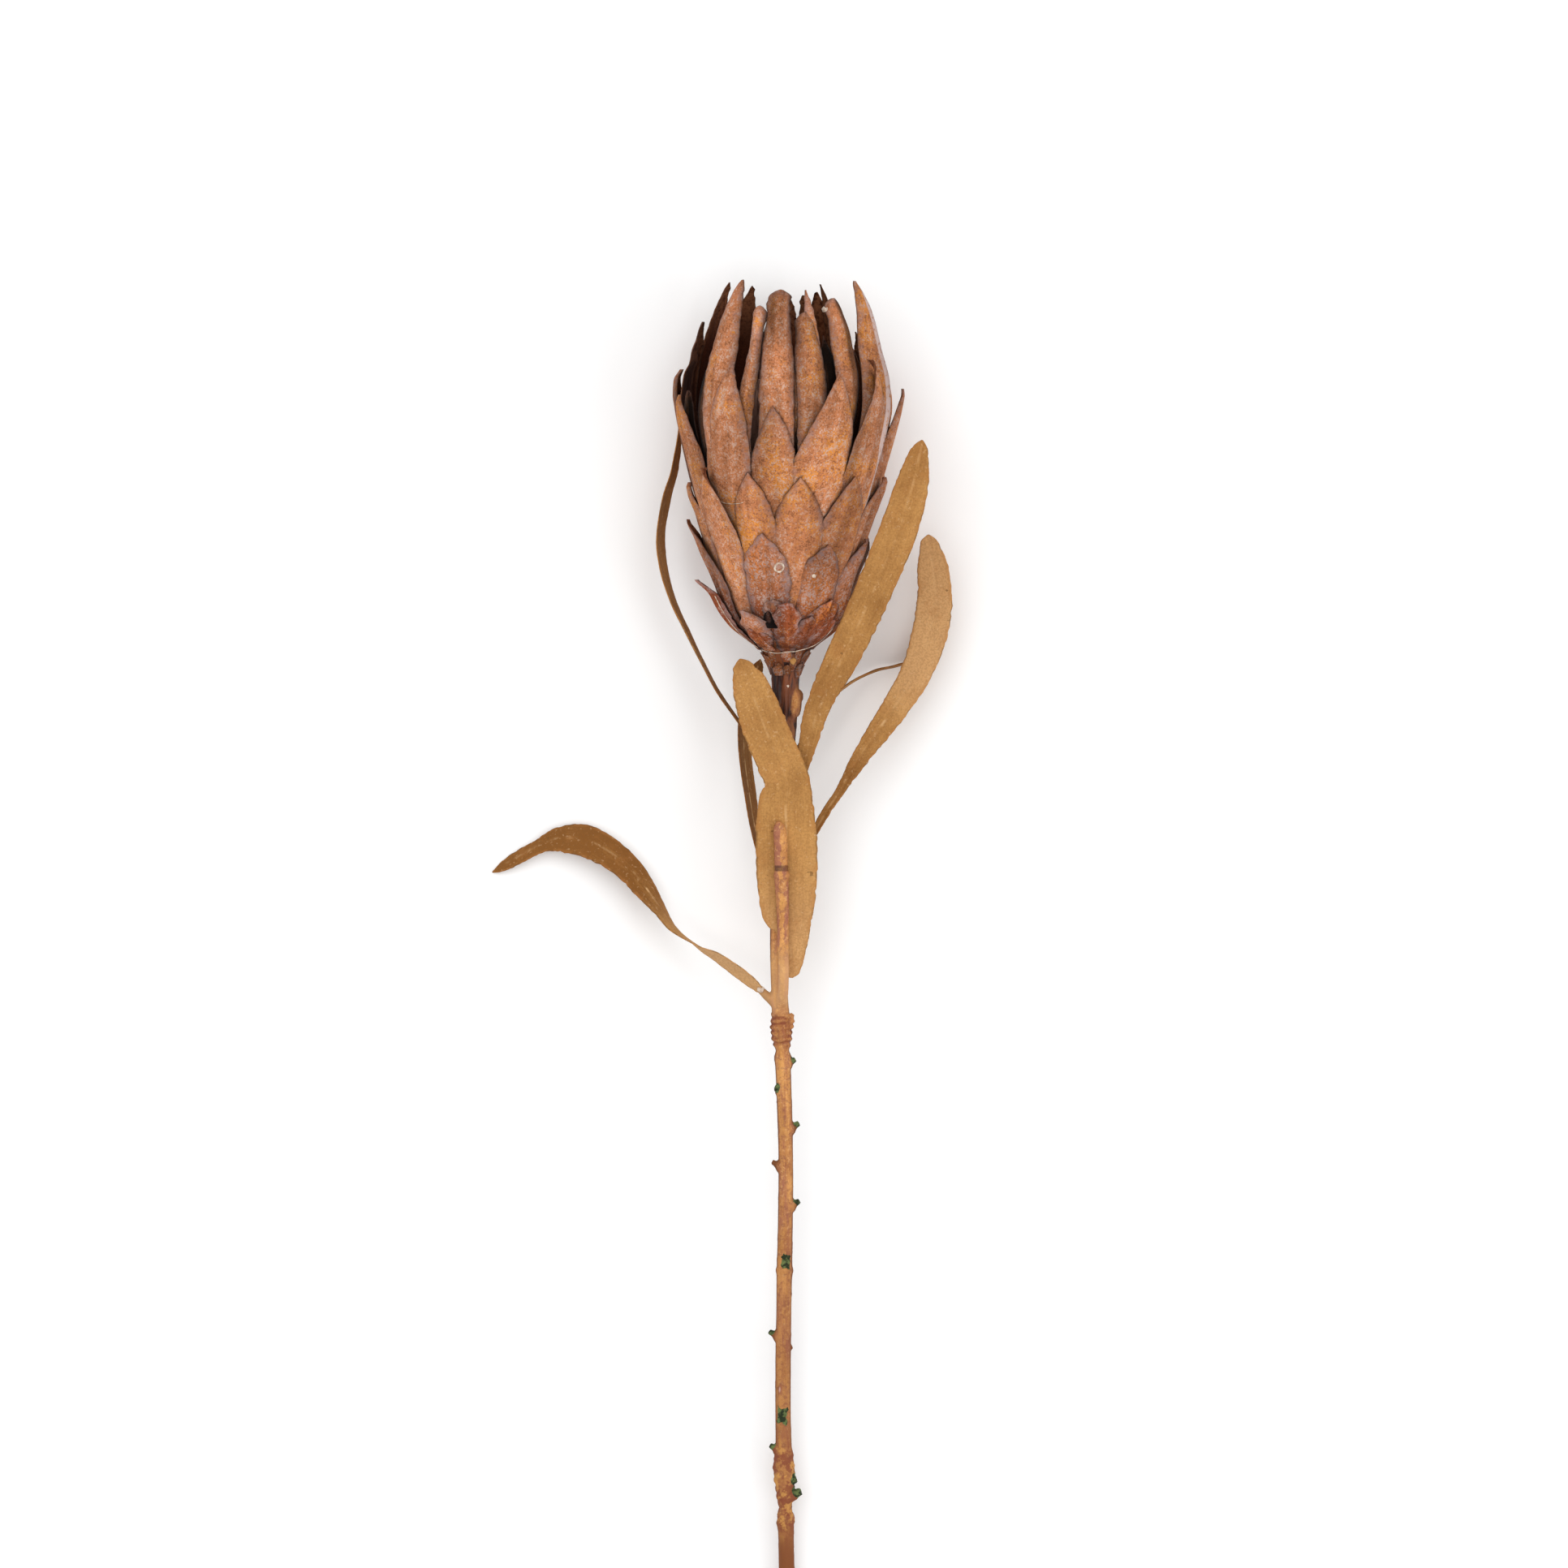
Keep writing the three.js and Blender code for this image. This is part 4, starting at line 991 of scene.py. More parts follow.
def scar_shell(place, normal, radius, height, ring, seed):
    """An uneven dome, or an uneven ring, lying on a surface."""
    shell = Shell()
    side = normal.orthogonal().normalized()
    other = normal.cross(side)
    if ring:
        line = []
        for k in range(29):
            angle = 2 * math.pi * k / 28
            wobble = 1 + 0.12 * waver(math.cos(angle) * 1.5, math.sin(angle) * 1.5, seed)
            line.append(place + spoke(side, other, angle) * radius * wobble * MM)
        shell.add(tube_rings(line, [height * MM] * 29, 8))
        return shell
    rings = []
    for k in range(8):
        lift = math.sin(math.pi / 2 * k / 7)
        spread = math.cos(math.pi / 2 * k / 7) * radius + 0.01
        ring_points = []
        for j in range(16):
            angle = 2 * math.pi * j / 16
            wobble = 1 + 0.3 * waver(math.cos(angle) * 1.3, math.sin(angle) * 1.3, seed)
            out = spoke(side, other, angle) * spread * wobble * MM
            point = place + out + normal * (lift * height - 0.1) * MM
            ring_points.append((point, (0.0, 0.0, 0.5, lift), (0.0, 0.0, seed)))
        rings.append(ring_points)
    shell.add(rings)
    return shell


def thread_shell(pieces, radius, points):
    """A fine thread through some places of the plant frame, lying on whatever is highest there."""
    shell = Shell()
    steps = 8 * (len(points) - 1)
    line = []
    for k in range(steps + 1):
        x, y = (station_value(points, k / steps, column) for column in (0, 1))
        place, _ = top_surface(pieces, x, y + 0.3 * waver(x * 0.5, 2, 3))
        line.append(place + Vector((0, 0, 0.12 * MM)))
    for _ in range(3):
        inner = [(line[k - 1] + line[k] * 2 + line[k + 1]) / 4 for k in range(1, steps)]
        line = [line[0], *inner, line[-1]]
    shell.add(tube_rings(line, [radius * MM * (1 + 0.4 * waver(k * 0.3, 2, 2)) for k in range(steps + 1)], 8))
    return shell


# ------------------------------------------------------------------ shader helpers


class Nodes:
    """Short ways to add and join shader nodes in one tree."""

    def __init__(self, tree):
        self.tree = tree

    def add(self, kind, links=None, **settings):
        node = self.tree.nodes.new(kind)
        for key, value in settings.items():
            setattr(node, key, value)
        for socket, value in (links or {}).items():
            self.put(node.inputs[socket], value)
        return node

    def put(self, socket, value):
        """Joins a socket to another one, or gives it a constant."""
        if isinstance(value, bpy.types.NodeSocket):
            self.tree.links.new(value, socket)
        else:
            socket.default_value = value

    def group(self, name, links):
        return self.add("ShaderNodeGroup", links, node_tree=bpy.data.node_groups[name])

    def noise(self, vector, scale, detail, rough):
        links = {"Vector": vector, "Scale": scale, "Detail": detail, "Roughness": rough}
        return self.add("ShaderNodeTexNoise", links).outputs["Fac"]

    def scaled(self, vector, scale):
        links = {0: vector, 1: scale}
        return self.add("ShaderNodeVectorMath", links, operation="MULTIPLY").outputs[0]

    def math(self, operation, first, second=0.0, clamp=False):
        links = {0: first, 1: second}
        return self.add("ShaderNodeMath", links, operation=operation, use_clamp=clamp).outputs[0]

    def times(self, first, second, clamp=False):
        return self.math("MULTIPLY", first, second, clamp)

    def plus(self, first, second, clamp=False):
        return self.math("ADD", first, second, clamp)

    def minus(self, first, second):
        return self.math("SUBTRACT", first, second)

    def specks(self, vector, scale, detail, rough, low, high):
        """A mask of noise: 0 where it is below low, and 1 above high."""
        return self.band(self.noise(vector, scale, detail, rough), low, high)

    def band(self, value, low, high):
        """0 below low, 1 above high, and smooth between."""
        links = {"Value": value, "From Min": low, "From Max": high}
        return self.add("ShaderNodeMapRange", links, interpolation_type="SMOOTHSTEP").outputs["Result"]

    def mix(self, factor, first, second, blend="MIX"):
        node = self.add("ShaderNodeMix", data_type="RGBA", blend_type=blend)
        for socket, value in {0: factor, 6: first, 7: second}.items():
            self.put(node.inputs[socket], value)
        return node.outputs[2]

    def paint(self, colour, mask, share, over):
        """A colour with a share of another one laid over it where the mask is."""
        return self.mix(self.times(mask, share), colour, over)


def new_group(name, inputs, outputs):
    """An empty shader node group with named sockets, and the nodes at its two ends."""
    tree = bpy.data.node_groups.new(name, "ShaderNodeTree")
    for label, kind, default in inputs:
        socket = tree.interface.new_socket(name=label, in_out="INPUT", socket_type=kind)
        if default is not None:
            socket.default_value = default
    for label, kind in outputs:
        tree.interface.new_socket(name=label, in_out="OUTPUT", socket_type=kind)
    nodes = Nodes(tree)
    return nodes, nodes.add("NodeGroupInput"), nodes.add("NodeGroupOutput")


COLOUR, NUMBER, VECTOR = "NodeSocketColor", "NodeSocketFloat", "NodeSocketVector"


def velvet_group():
    """Felted velvet: grains of four colours in drifting shares, darker in its hollows from the painted shade
    of its tone mark.
    """
    nodes, given, result = new_group(
        "Velvet mottle",
        [("Position", VECTOR, None), ("Lay", VECTOR, None), ("Ground", COLOUR, None), ("Warm", COLOUR, None),
         ("Frost", COLOUR, None), ("Shade", COLOUR, None), ("Warm Amount", NUMBER, 0.5),
         ("Frost Amount", NUMBER, 0.5), ("Tone", NUMBER, 0.5)],
        [("Color", COLOUR), ("Height", NUMBER), ("Light", COLOUR)],
    )
    position, lay = given.outputs["Position"], given.outputs["Lay"]
    patches = nodes.noise(position, 75, 3, 0.6)
    clouds = nodes.noise(position, 300, 4, 0.65)
    fibres = nodes.noise(nodes.scaled(lay, (1100, 120, 1)), 1.0, 3, 0.6)
    cells = nodes.add("ShaderNodeTexVoronoi", {"Vector": position, "Scale": 2300.0}).outputs["Color"]
    cell = nodes.add("ShaderNodeSeparateColor", {0: cells})
    drift = nodes.times(nodes.minus(clouds, 0.5), 1.7)
    broad = nodes.times(nodes.minus(patches, 0.5), 3.2)
    warm = nodes.plus(nodes.times(cell.outputs[0], 0.6), given.outputs["Warm Amount"])
    warm = nodes.band(nodes.plus(warm, broad), 0.55, 1.15)
    colour = nodes.mix(warm, given.outputs["Ground"], given.outputs["Warm"])
    frost = nodes.plus(nodes.times(cell.outputs[1], 0.7), given.outputs["Frost Amount"])
    frost = nodes.band(nodes.plus(frost, drift), 0.62, 1.2)
    colour = nodes.mix(frost, colour, given.outputs["Frost"])
    shade = nodes.minus(nodes.times(cell.outputs[2], 0.9), drift)
    shade = nodes.times(nodes.band(shade, 0.5, 1.05), 0.75)
    colour = nodes.mix(shade, colour, given.outputs["Shade"])
    # Painted light and shade: the tone mark lightens and darkens the colour here.
    light = nodes.times(given.outputs["Tone"], BRIGHTEST)
    light = nodes.times(light, nodes.plus(0.82, nodes.times(fibres, 0.36)))
    grey = nodes.add("ShaderNodeCombineColor", {"Red": light, "Green": light, "Blue": light}).outputs[0]
    height = nodes.plus(nodes.times(cell.outputs[1], 0.6), nodes.times(clouds, 0.6))
    nodes.put(result.inputs["Color"], nodes.mix(1.0, colour, grey, "MULTIPLY"))
    nodes.put(result.inputs["Height"], height)
    nodes.put(result.inputs["Light"], grey)


def fibre_group():
    """Long fibres that run with the grain, in two widths, with a broad drift of tone."""
    nodes, given, result = new_group(
        "Long fibres",
        [("Position", VECTOR, None), ("Lay", VECTOR, None), ("Light", COLOUR, None), ("Dark", COLOUR, None),
         ("Fibre Scale", NUMBER, 1.0), ("Contrast", NUMBER, 0.5), ("Tone", NUMBER, 0.5)],
        [("Color", COLOUR), ("Height", NUMBER), ("Fibre", NUMBER)],
    )
    scale = given.outputs["Fibre Scale"]
    lay = nodes.add(
        "ShaderNodeVectorMath", {0: given.outputs["Lay"], "Scale": scale}, operation="SCALE"
    ).outputs[0]
    broad = nodes.noise(nodes.scaled(lay, (520, 26, 1)), 1.0, 3, 0.55)
    fine = nodes.noise(nodes.scaled(lay, (1900, 90, 1)), 1.0, 4, 0.65)
    drift = nodes.noise(given.outputs["Position"], 60, 3, 0.6)
    pores = nodes.noise(given.outputs["Position"], 1400, 3, 0.7)
    fibre = nodes.plus(nodes.times(broad, 0.35), nodes.times(fine, 0.3))
    fibre = nodes.plus(fibre, nodes.times(pores, 0.35))
    place = nodes.plus(nodes.times(fibre, 0.6), nodes.times(drift, 0.4))
    place = nodes.minus(place, 0.5)
    place = nodes.times(place, nodes.times(given.outputs["Contrast"], 5.0))
    amount = nodes.plus(place, given.outputs["Tone"], clamp=True)
    nodes.put(result.inputs["Color"], nodes.mix(amount, given.outputs["Dark"], given.outputs["Light"]))
    nodes.put(result.inputs["Height"], fibre)
    nodes.put(result.inputs["Fibre"], fibre)


def new_material(name):
    material = bpy.data.materials.new(name)
    material.use_nodes = True
    material.node_tree.nodes.clear()
    nodes = Nodes(material.node_tree)
    shader = nodes.add("ShaderNodeBsdfPrincipled")
    output = nodes.add("ShaderNodeOutputMaterial")
    nodes.put(output.inputs[0], shader.outputs[0])
    marks = nodes.add("ShaderNodeAttribute", attribute_name="marks")
    parts = nodes.add("ShaderNodeSeparateColor", {0: marks.outputs["Color"]})
    sources = {
        "position": nodes.add("ShaderNodeTexCoord").outputs["Object"],
        "lay": nodes.add("ShaderNodeAttribute", attribute_name="lay").outputs["Vector"],
        "edge": parts.outputs[0], "inner": parts.outputs[1], "tone": parts.outputs[2],
        "height": marks.outputs["Alpha"],
    }
    return nodes, shader, sources


def finish(nodes, shader, inputs, height, strength, distance):
    """Feeds the shader's own sockets, and gives it a bump."""
    bump = {"Height": height, "Strength": strength, "Distance": distance}
    inputs["Normal"] = nodes.add("ShaderNodeBump", bump).outputs[0]
    for name, value in inputs.items():
        nodes.put(shader.inputs[name], value)


def velvet_material(name, colours, warm_amount, frost_amount, edge_frost, strip=None, foot=None):
    """Velvety outside, lilac-grey rubbed borders, dusky tip, and a dark fibrous inside."""
    ground, warm, frost, border, inside = (rgba(colour) for colour in colours)
    nodes, shader, at = new_material(name)
    outside = nodes.mix(nodes.band(at["height"], 0.62, 0.3), ground, rgba(foot)) if foot else ground
    velvet = nodes.group("Velvet mottle", {
        "Position": at["position"], "Lay": at["lay"], "Ground": outside, "Warm": warm, "Frost": frost,
        "Shade": darker(ground, 0.42), "Warm Amount": warm_amount, "Frost Amount": frost_amount,
        "Tone": at["tone"]})
    fibres = nodes.group("Long fibres", {
        "Position": at["position"], "Lay": at["lay"], "Light": inside, "Dark": darker(inside, 0.3),
        "Fibre Scale": 0.8, "Contrast": 0.8, "Tone": 0.5})
    speckle = nodes.noise(at["position"], 650, 3, 0.7)
    smear = nodes.noise(at["position"], 160, 3, 0.6)
    wide = nodes.plus(at["edge"], nodes.times(nodes.minus(smear, 0.5), 2.2))
    wide = nodes.times(nodes.band(wide, 0.3, 1.0), nodes.band(speckle, 0.36, 0.6))
    # The rubbed borders take the painted light and shade of the tone mark too.
    rubbed = nodes.mix(1.0, border, velvet.outputs["Light"], "MULTIPLY")
    colour = nodes.mix(nodes.times(wide, edge_frost), velvet.outputs["Color"], rubbed)
    # A thin dark line at the very edge: partly the edge's own colour, partly painted shade of the gap under
    # it.
    line = nodes.times(nodes.band(at["edge"], 0.94, 1.0), nodes.band(speckle, 0.3, 0.55))
    line = nodes.times(line, nodes.band(smear, 0.4, 0.55))
    colour = nodes.paint(colour, line, 0.27, darker(border, 0.3))
    if strip:
        right = nodes.add("ShaderNodeSeparateXYZ", {0: at["lay"]}).outputs[0]
        bare = nodes.times(nodes.band(at["edge"], 0.3, 0.5), nodes.band(right, 0.4 * MM, 1 * MM))
        pale = nodes.mix(1.0, rgba(strip), velvet.outputs["Light"], "MULTIPLY")
        colour = nodes.mix(nodes.times(bare, nodes.band(speckle, 0.3, 0.5)), colour, pale)
    dusk = nodes.times(nodes.band(at["height"], 0.95, 1.0), nodes.band(speckle, 0.62, 0.35))
    colour = nodes.paint(colour, dusk, 0.45, (0.13, 0.05, 0.03, 1))
    rust = nodes.mix(nodes.band(speckle, 0.3, 0.6), fibres.outputs["Color"], darker(ground, 0.7))
    near_edge = nodes.math("MAXIMUM", nodes.band(at["height"], 0.78, 1.0), nodes.band(at["edge"], 0.45, 0.95))
    inner_colour = nodes.mix(nodes.times(near_edge, 0.8), fibres.outputs["Color"], rust)
    # Painted shade: the inner face darkens towards its root, deep in the head.
    depth = nodes.times(nodes.band(at["height"], 0.92, 0.5), 0.85)
    inner_colour = nodes.mix(depth, inner_colour, darker(inside, 0.1))
    # The inner face takes the painted light and shade of the tone mark too.
    inner_colour = nodes.mix(0.75, inner_colour, velvet.outputs["Light"], "MULTIPLY")
    inner = nodes.band(at["inner"], 0.4, 0.6)
    colour = nodes.mix(inner, colour, inner_colour)
    rough = nodes.minus(0.92, nodes.times(inner, 0.3))
    finish(nodes, shader, {
        "Base Color": colour, "Roughness": rough, "Specular IOR Level": 0.06, "Sheen Weight": 0.04,
        "Sheen Roughness": 0.45, "Sheen Tint": (0.80, 0.70, 0.70, 1),
    }, velvet.outputs["Height"], 0.6, 0.3 * MM)


def darker(colour, share):
    return (*(share * channel for channel in colour[:3]), 1.0)


def rgba(colour):
    return (*colour[:3], 1.0)


def leaf_material(sizes):
    nodes, shader, at = new_material("dry leaf")
    fibres = nodes.group("Long fibres", {
        "Position": at["position"], "Lay": at["lay"], "Light": rgba(sizes.light), "Dark": rgba(sizes.dark),
        "Fibre Scale": 1.0, "Contrast": 0.6, "Tone": at["tone"]})
    paler = nodes.times(nodes.band(at["tone"], 0.75, 1.2), 0.45)
    colour = nodes.mix(paler, fibres.outputs["Color"], (0.72, 0.44, 0.23, 1))
    patch = nodes.specks(at["position"], 95, 5, 0.7, 0.5, 0.7)
    colour = nodes.paint(colour, patch, 0.4, rgba(sizes.blush))
    felt = nodes.specks(at["position"], 1500, 3, 0.7, 0.42, 0.62)
    colour = nodes.paint(colour, felt, 0.26, (0.16, 0.07, 0.02, 1))
    offset = nodes.add("ShaderNodeSeparateXYZ", {0: at["lay"]}).outputs[0]
    rib = nodes.band(nodes.math("ABSOLUTE", offset), 0.7 * MM, 0.05 * MM)
    broken = nodes.specks(at["position"], 240, 3, 0.6, 0.42, 0.62)
    ribbed = nodes.times(nodes.band(at["tone"], 0.12, 0.08), nodes.band(at["tone"], 0.0, 0.04))
    middle = nodes.times(nodes.band(at["tone"], 0.70, 0.76), nodes.band(at["tone"], 0.87, 0.82))
    ribbed = nodes.math("MAXIMUM", ribbed, nodes.times(middle, 0.9))
    faint = nodes.plus(0.28, nodes.times(ribbed, 0.6))
    rib = nodes.times(nodes.times(rib, broken), faint)
    colour = nodes.mix(rib, colour, rgba(sizes.pale))
    rim = nodes.times(nodes.band(at["edge"], 0.05, 0.5), nodes.band(broken, 0.8, 0.2))
    colour = nodes.paint(colour, rim, 0.4, rgba(sizes.blush))
    edge = nodes.times(nodes.band(at["edge"], 0.5, 1.0), nodes.band(broken, 0.3, 0.8))
    colour = nodes.paint(colour, edge, 0.6, (0.15, 0.065, 0.02, 1))
    specks = nodes.specks(at["position"], 900, 2, 0.6, 0.6, 0.72)
    colour = nodes.paint(colour, specks, 0.3, (0.70, 0.45, 0.24, 1))
    spots = nodes.specks(at["position"], 330, 2, 0.5, 0.72, 0.77)
    colour = nodes.paint(colour, spots, 0.6, (0.12, 0.06, 0.02, 1))
    rough = nodes.plus(0.66, nodes.times(fibres.outputs["Fibre"], 0.25))
    finish(nodes, shader, {"Base Color": colour, "Roughness": rough, "Specular IOR Level": 0.15},
           fibres.outputs["Height"], 0.5, 0.3 * MM)


def bark_material(sizes):
    """Painted bark: pinkish tan fibres, mauve blush, green cut ends, and a dark glossy neck."""
    nodes, shader, at = new_material("bark")
    fibres = nodes.group("Long fibres", {
        "Position": at["position"], "Lay": at["lay"], "Light": rgba(sizes.light), "Dark": rgba(sizes.dark),
        "Fibre Scale": 1.0, "Contrast": 1.15, "Tone": 0.62})
    blotch = nodes.noise(nodes.scaled(at["lay"], (560, 80, 1)), 1.0, 5, 0.65)
    mauve = nodes.times(nodes.band(blotch, 0.38, 0.6), at["tone"], clamp=True)
    colour = nodes.mix(nodes.times(mauve, 0.85), fibres.outputs["Color"], rgba(sizes.mauve))
    ochre = nodes.band(nodes.noise(nodes.scaled(at["lay"], (330, 45, 1)), 1.0, 4, 0.65), 0.5, 0.64)
    colour = nodes.paint(colour, ochre, 0.38, rgba(sizes.ochre))
    pits = nodes.specks(at["position"], 700, 3, 0.7, 0.6, 0.72)
    colour = nodes.paint(colour, pits, 0.5, darker(rgba(sizes.dark), 0.5))
    flecks = nodes.specks(at["position"], 620, 4, 0.7, 0.5, 0.64)
    colour = nodes.paint(colour, flecks, 0.6, darker(rgba(sizes.mauve), 0.7))
    chips = nodes.specks(at["position"], 840, 4, 0.7, 0.54, 0.66)
    colour = nodes.paint(colour, chips, 0.5, (0.72, 0.40, 0.17, 1))
    around = nodes.add("ShaderNodeSeparateXYZ", {0: at["lay"]})
    down = around.outputs[1]
    # Painted shade: the stem's flanks are darkened, where its round sides turn away from the light.
    painted_flank_shade = nodes.band(nodes.math("ABSOLUTE", around.outputs[0]), 0.85 * STEM_RADIUS, 1.35 * STEM_RADIUS)
    colour = nodes.paint(colour, painted_flank_shade, 0.95, darker(rgba(sizes.dark), 0.5))
    age = nodes.plus(nodes.times(nodes.band(down, -0.13, -0.23), 0.5),
                     nodes.times(nodes.band(down, -0.262, -0.288), 0.5))
    colour = nodes.mix(age, colour, darker(rgba(sizes.dark), 0.72))
    fresh = nodes.times(nodes.band(down, -0.116, -0.104), nodes.band(down, -0.085, -0.097))
    colour = nodes.paint(colour, fresh, 0.45, (0.78, 0.46, 0.20, 1))
    smear = nodes.times(nodes.band(at["tone"], 3.2, 5.0), 0.55)
    colour = nodes.mix(smear, colour, (0.66, 0.46, 0.40, 1))
    collar = nodes.times(at["height"], nodes.specks(at["position"], 420, 4, 0.7, 0.3, 0.46))
    colour = nodes.paint(colour, collar, 0.95, rgba(sizes.collar))
    gnarled = nodes.times(nodes.band(down, -0.245, -0.254), nodes.band(down, -0.283, -0.274))
    wrinkled = nodes.times(nodes.band(down, -0.104, -0.110), nodes.band(down, -0.126, -0.120))
    yellow = nodes.times(nodes.specks(at["position"], 270, 3, 0.6, 0.48, 0.58), gnarled)
    colour = nodes.paint(colour, yellow, 0.55, rgba(sizes.ochre))
    mottled = nodes.math("MAXIMUM", gnarled, nodes.times(wrinkled, 0.4))
    red = nodes.times(nodes.specks(at["position"], 230, 4, 0.7, 0.5, 0.56), mottled)
    colour = nodes.paint(colour, red, 0.85, rgba(sizes.collar))
    streak = nodes.noise(nodes.scaled(at["lay"], (700, 60, 1)), 1.0, 3, 0.6)
    neck = nodes.mix(nodes.band(streak, 0.44, 0.58), rgba(sizes.neck_dark), rgba(sizes.neck))
    neck = nodes.mix(nodes.times(nodes.band(down, -0.002, -0.016), 0.6), neck, rgba(sizes.neck_dark))
    colour = nodes.mix(at["inner"], colour, neck)
    green = nodes.mix(nodes.specks(at["position"], 600, 3, 0.6, 0.42, 0.62),
                      (0.016, 0.024, 0.008, 1), (0.12, 0.155, 0.05, 1))
    colour = nodes.mix(nodes.band(at["edge"], 0.3, 0.6), colour, green)
    rough = nodes.minus(0.72, nodes.times(at["inner"], 0.35))
    finish(nodes, shader, {
        "Base Color": colour, "Roughness": rough, "Coat Weight": nodes.times(at["inner"], 0.07),
        "Coat Roughness": 0.3, "Specular IOR Level": 0.2}, fibres.outputs["Height"], 0.6, 0.4 * MM)


def floret_material():
    nodes, shader, at = new_material("florets")
    fibres = nodes.group("Long fibres", {
        "Position": at["position"], "Lay": at["lay"], "Light": (0.16, 0.065, 0.035, 1),
        "Dark": (0.03, 0.012, 0.009, 1), "Fibre Scale": 1.6, "Contrast": 0.8, "Tone": at["tone"]})
    tip = nodes.band(at["height"], 0.7, 1.0)
    colour = nodes.mix(nodes.times(tip, 0.35), fibres.outputs["Color"], (0.30, 0.17, 0.11, 1))
    rough = nodes.plus(0.75, nodes.times(tip, 0.2))
    finish(nodes, shader, {"Base Color": colour, "Roughness": rough, "Sheen Weight": 0.3},
           fibres.outputs["Height"], 0.6, 0.3 * MM)


def glue_material():
    """Dried glue and cream scars: pale, a little glossy, stained in places."""
    nodes, shader, at = new_material("glue")
    stain = nodes.specks(at["position"], 800, 3, 0.6, 0.4, 0.65)
    colour = nodes.mix(stain, (0.66, 0.55, 0.44, 1), (0.42, 0.27, 0.19, 1))
    rough = nodes.plus(0.35, nodes.times(stain, 0.3))
    finish(nodes, shader, {"Base Color": colour, "Roughness": rough}, stain, 0.4, 0.2 * MM)


def floor_material(colour):
    material = bpy.data.materials.new("floor")
    material.use_nodes = True
    shader = material.node_tree.nodes["Principled BSDF"]
    shader.inputs["Base Color"].default_value = rgba(colour)
    shader.inputs["Roughness"].default_value = 0.9
    shader.inputs["Specular IOR Level"].default_value = 0.1
    return material


# ------------------------------------------------------------------ settings


def colour_setting(name, description, default):
    return FloatVectorProperty(name=name, description=description, default=default, size=3, min=0, max=1,
                               subtype="COLOR")


def length_setting(name, description, default):
    return FloatProperty(name=name, description=description, default=default, min=0, subtype="DISTANCE",
                         unit="LENGTH", precision=5)


class ProteaBractSettings(bpy.types.PropertyGroup):
    steps_along: IntProperty(name="Steps Along", description="Rings from root to tip", default=72, min=8)
    steps_across: IntProperty(name="Steps Across", description="Faces from edge to edge", default=18, min=4)
    thickness: length_setting("Thickness", "Thickness in the middle of a bract", 0.8 * MM)
    ground: colour_setting("Ground", "Dusty terracotta of the velvet", (0.405, 0.152, 0.066))
    warm: colour_setting("Warm", "Ochre patches in the velvet", (0.53, 0.195, 0.034))
    frost: colour_setting("Frost", "Pale lilac-grey hairs", (0.47, 0.29, 0.215))
    border: colour_setting("Border", "Rubbed lilac-grey borders", (0.33, 0.20, 0.175))
    pale_border: colour_setting("Pale Border", "Pale right border of the bract that stands alone",
                                (0.60, 0.44, 0.40))
    inside: colour_setting("Inside", "Dark inner face", (0.105, 0.025, 0.010))
    low_ground: colour_setting("Low Ground", "Rust brown of the lowest bracts", (0.34, 0.122, 0.052))
    low_warm: colour_setting("Low Warm", "Rust patches of the lowest bracts", (0.40, 0.122, 0.028))
    low_frost: colour_setting("Low Frost", "Grey hairs of the lowest bracts", (0.38, 0.24, 0.195))
    rust_ground: colour_setting("Rust Ground", "Red rust of the bracts at the base", (0.235, 0.058, 0.020))
    low_border: colour_setting("Low Border", "Mauve borders of the lowest bracts", (0.33, 0.205, 0.185))


class ProteaLeafSettings(bpy.types.PropertyGroup):
    steps_between: IntProperty(name="Steps Between", description="Rings between stations", default=15, min=2)
    steps_across: IntProperty(name="Steps Across", description="Faces from edge to edge", default=16, min=4)
    thickness: length_setting("Thickness", "Thickness at a leaf's midrib", 0.6 * MM)
    ragged: length_setting("Ragged Edge", "Depth of the nibbles in a leaf's edge", 0.34 * MM)
    swell: length_setting("Swell", "Height of the swells in a leaf", 0.3 * MM)
    light: colour_setting("Light", "Light tan fibres", (0.52, 0.265, 0.082))
    dark: colour_setting("Dark", "Brown fibres", (0.22, 0.085, 0.017))
    blush: colour_setting("Blush", "Reddish patches", (0.37, 0.15, 0.04))
    pale: colour_setting("Midrib", "Pale line of the midrib", (0.64, 0.39, 0.18))


class ProteaStemSettings(bpy.types.PropertyGroup):
    voxel: length_setting("Skin Detail", "Size of the quads in the stem's skin", STEM_VOXEL)
    light: colour_setting("Light", "Pinkish tan bark", (0.70, 0.335, 0.106))
    dark: colour_setting("Dark", "Brown furrows", (0.28, 0.09, 0.028))
    mauve: colour_setting("Mauve", "Mauve blush", (0.34, 0.122, 0.078))
    ochre: colour_setting("Ochre", "Ochre patches", (0.64, 0.32, 0.08))
    collar: colour_setting("Collar", "Wrinkled collars", (0.22, 0.06, 0.027))
    neck: colour_setting("Neck", "Red-brown of the neck", (0.165, 0.045, 0.014))
    neck_dark: colour_setting("Neck Furrows", "Dark streaks of the neck", (0.024, 0.007, 0.005))


class ProteaFloretSettings(bpy.types.PropertyGroup):
    count: IntProperty(name="Florets", description="How many florets are packed in the head",
                       default=300, min=1)


class ProteaStageSettings(bpy.types.PropertyGroup):
    floor: colour_setting("Floor", "Pale floor", (0.95, 0.95, 0.95))
    view_width: length_setting("View Width", "Width of the camera's view at the neck", 0.5023)
    distance: length_setting("Camera Distance", "Height of the camera above the neck", 5.0)
    key_power: FloatProperty(name="Key Power", description="Power of the main soft light, in watts",
                             default=19.0)
    fill_power: FloatProperty(name="Fill Power", description="Power of the second soft light, in watts",
                              default=4.0)
    sky: FloatProperty(name="Sky", description="Strength of the even light all round", default=0.68)


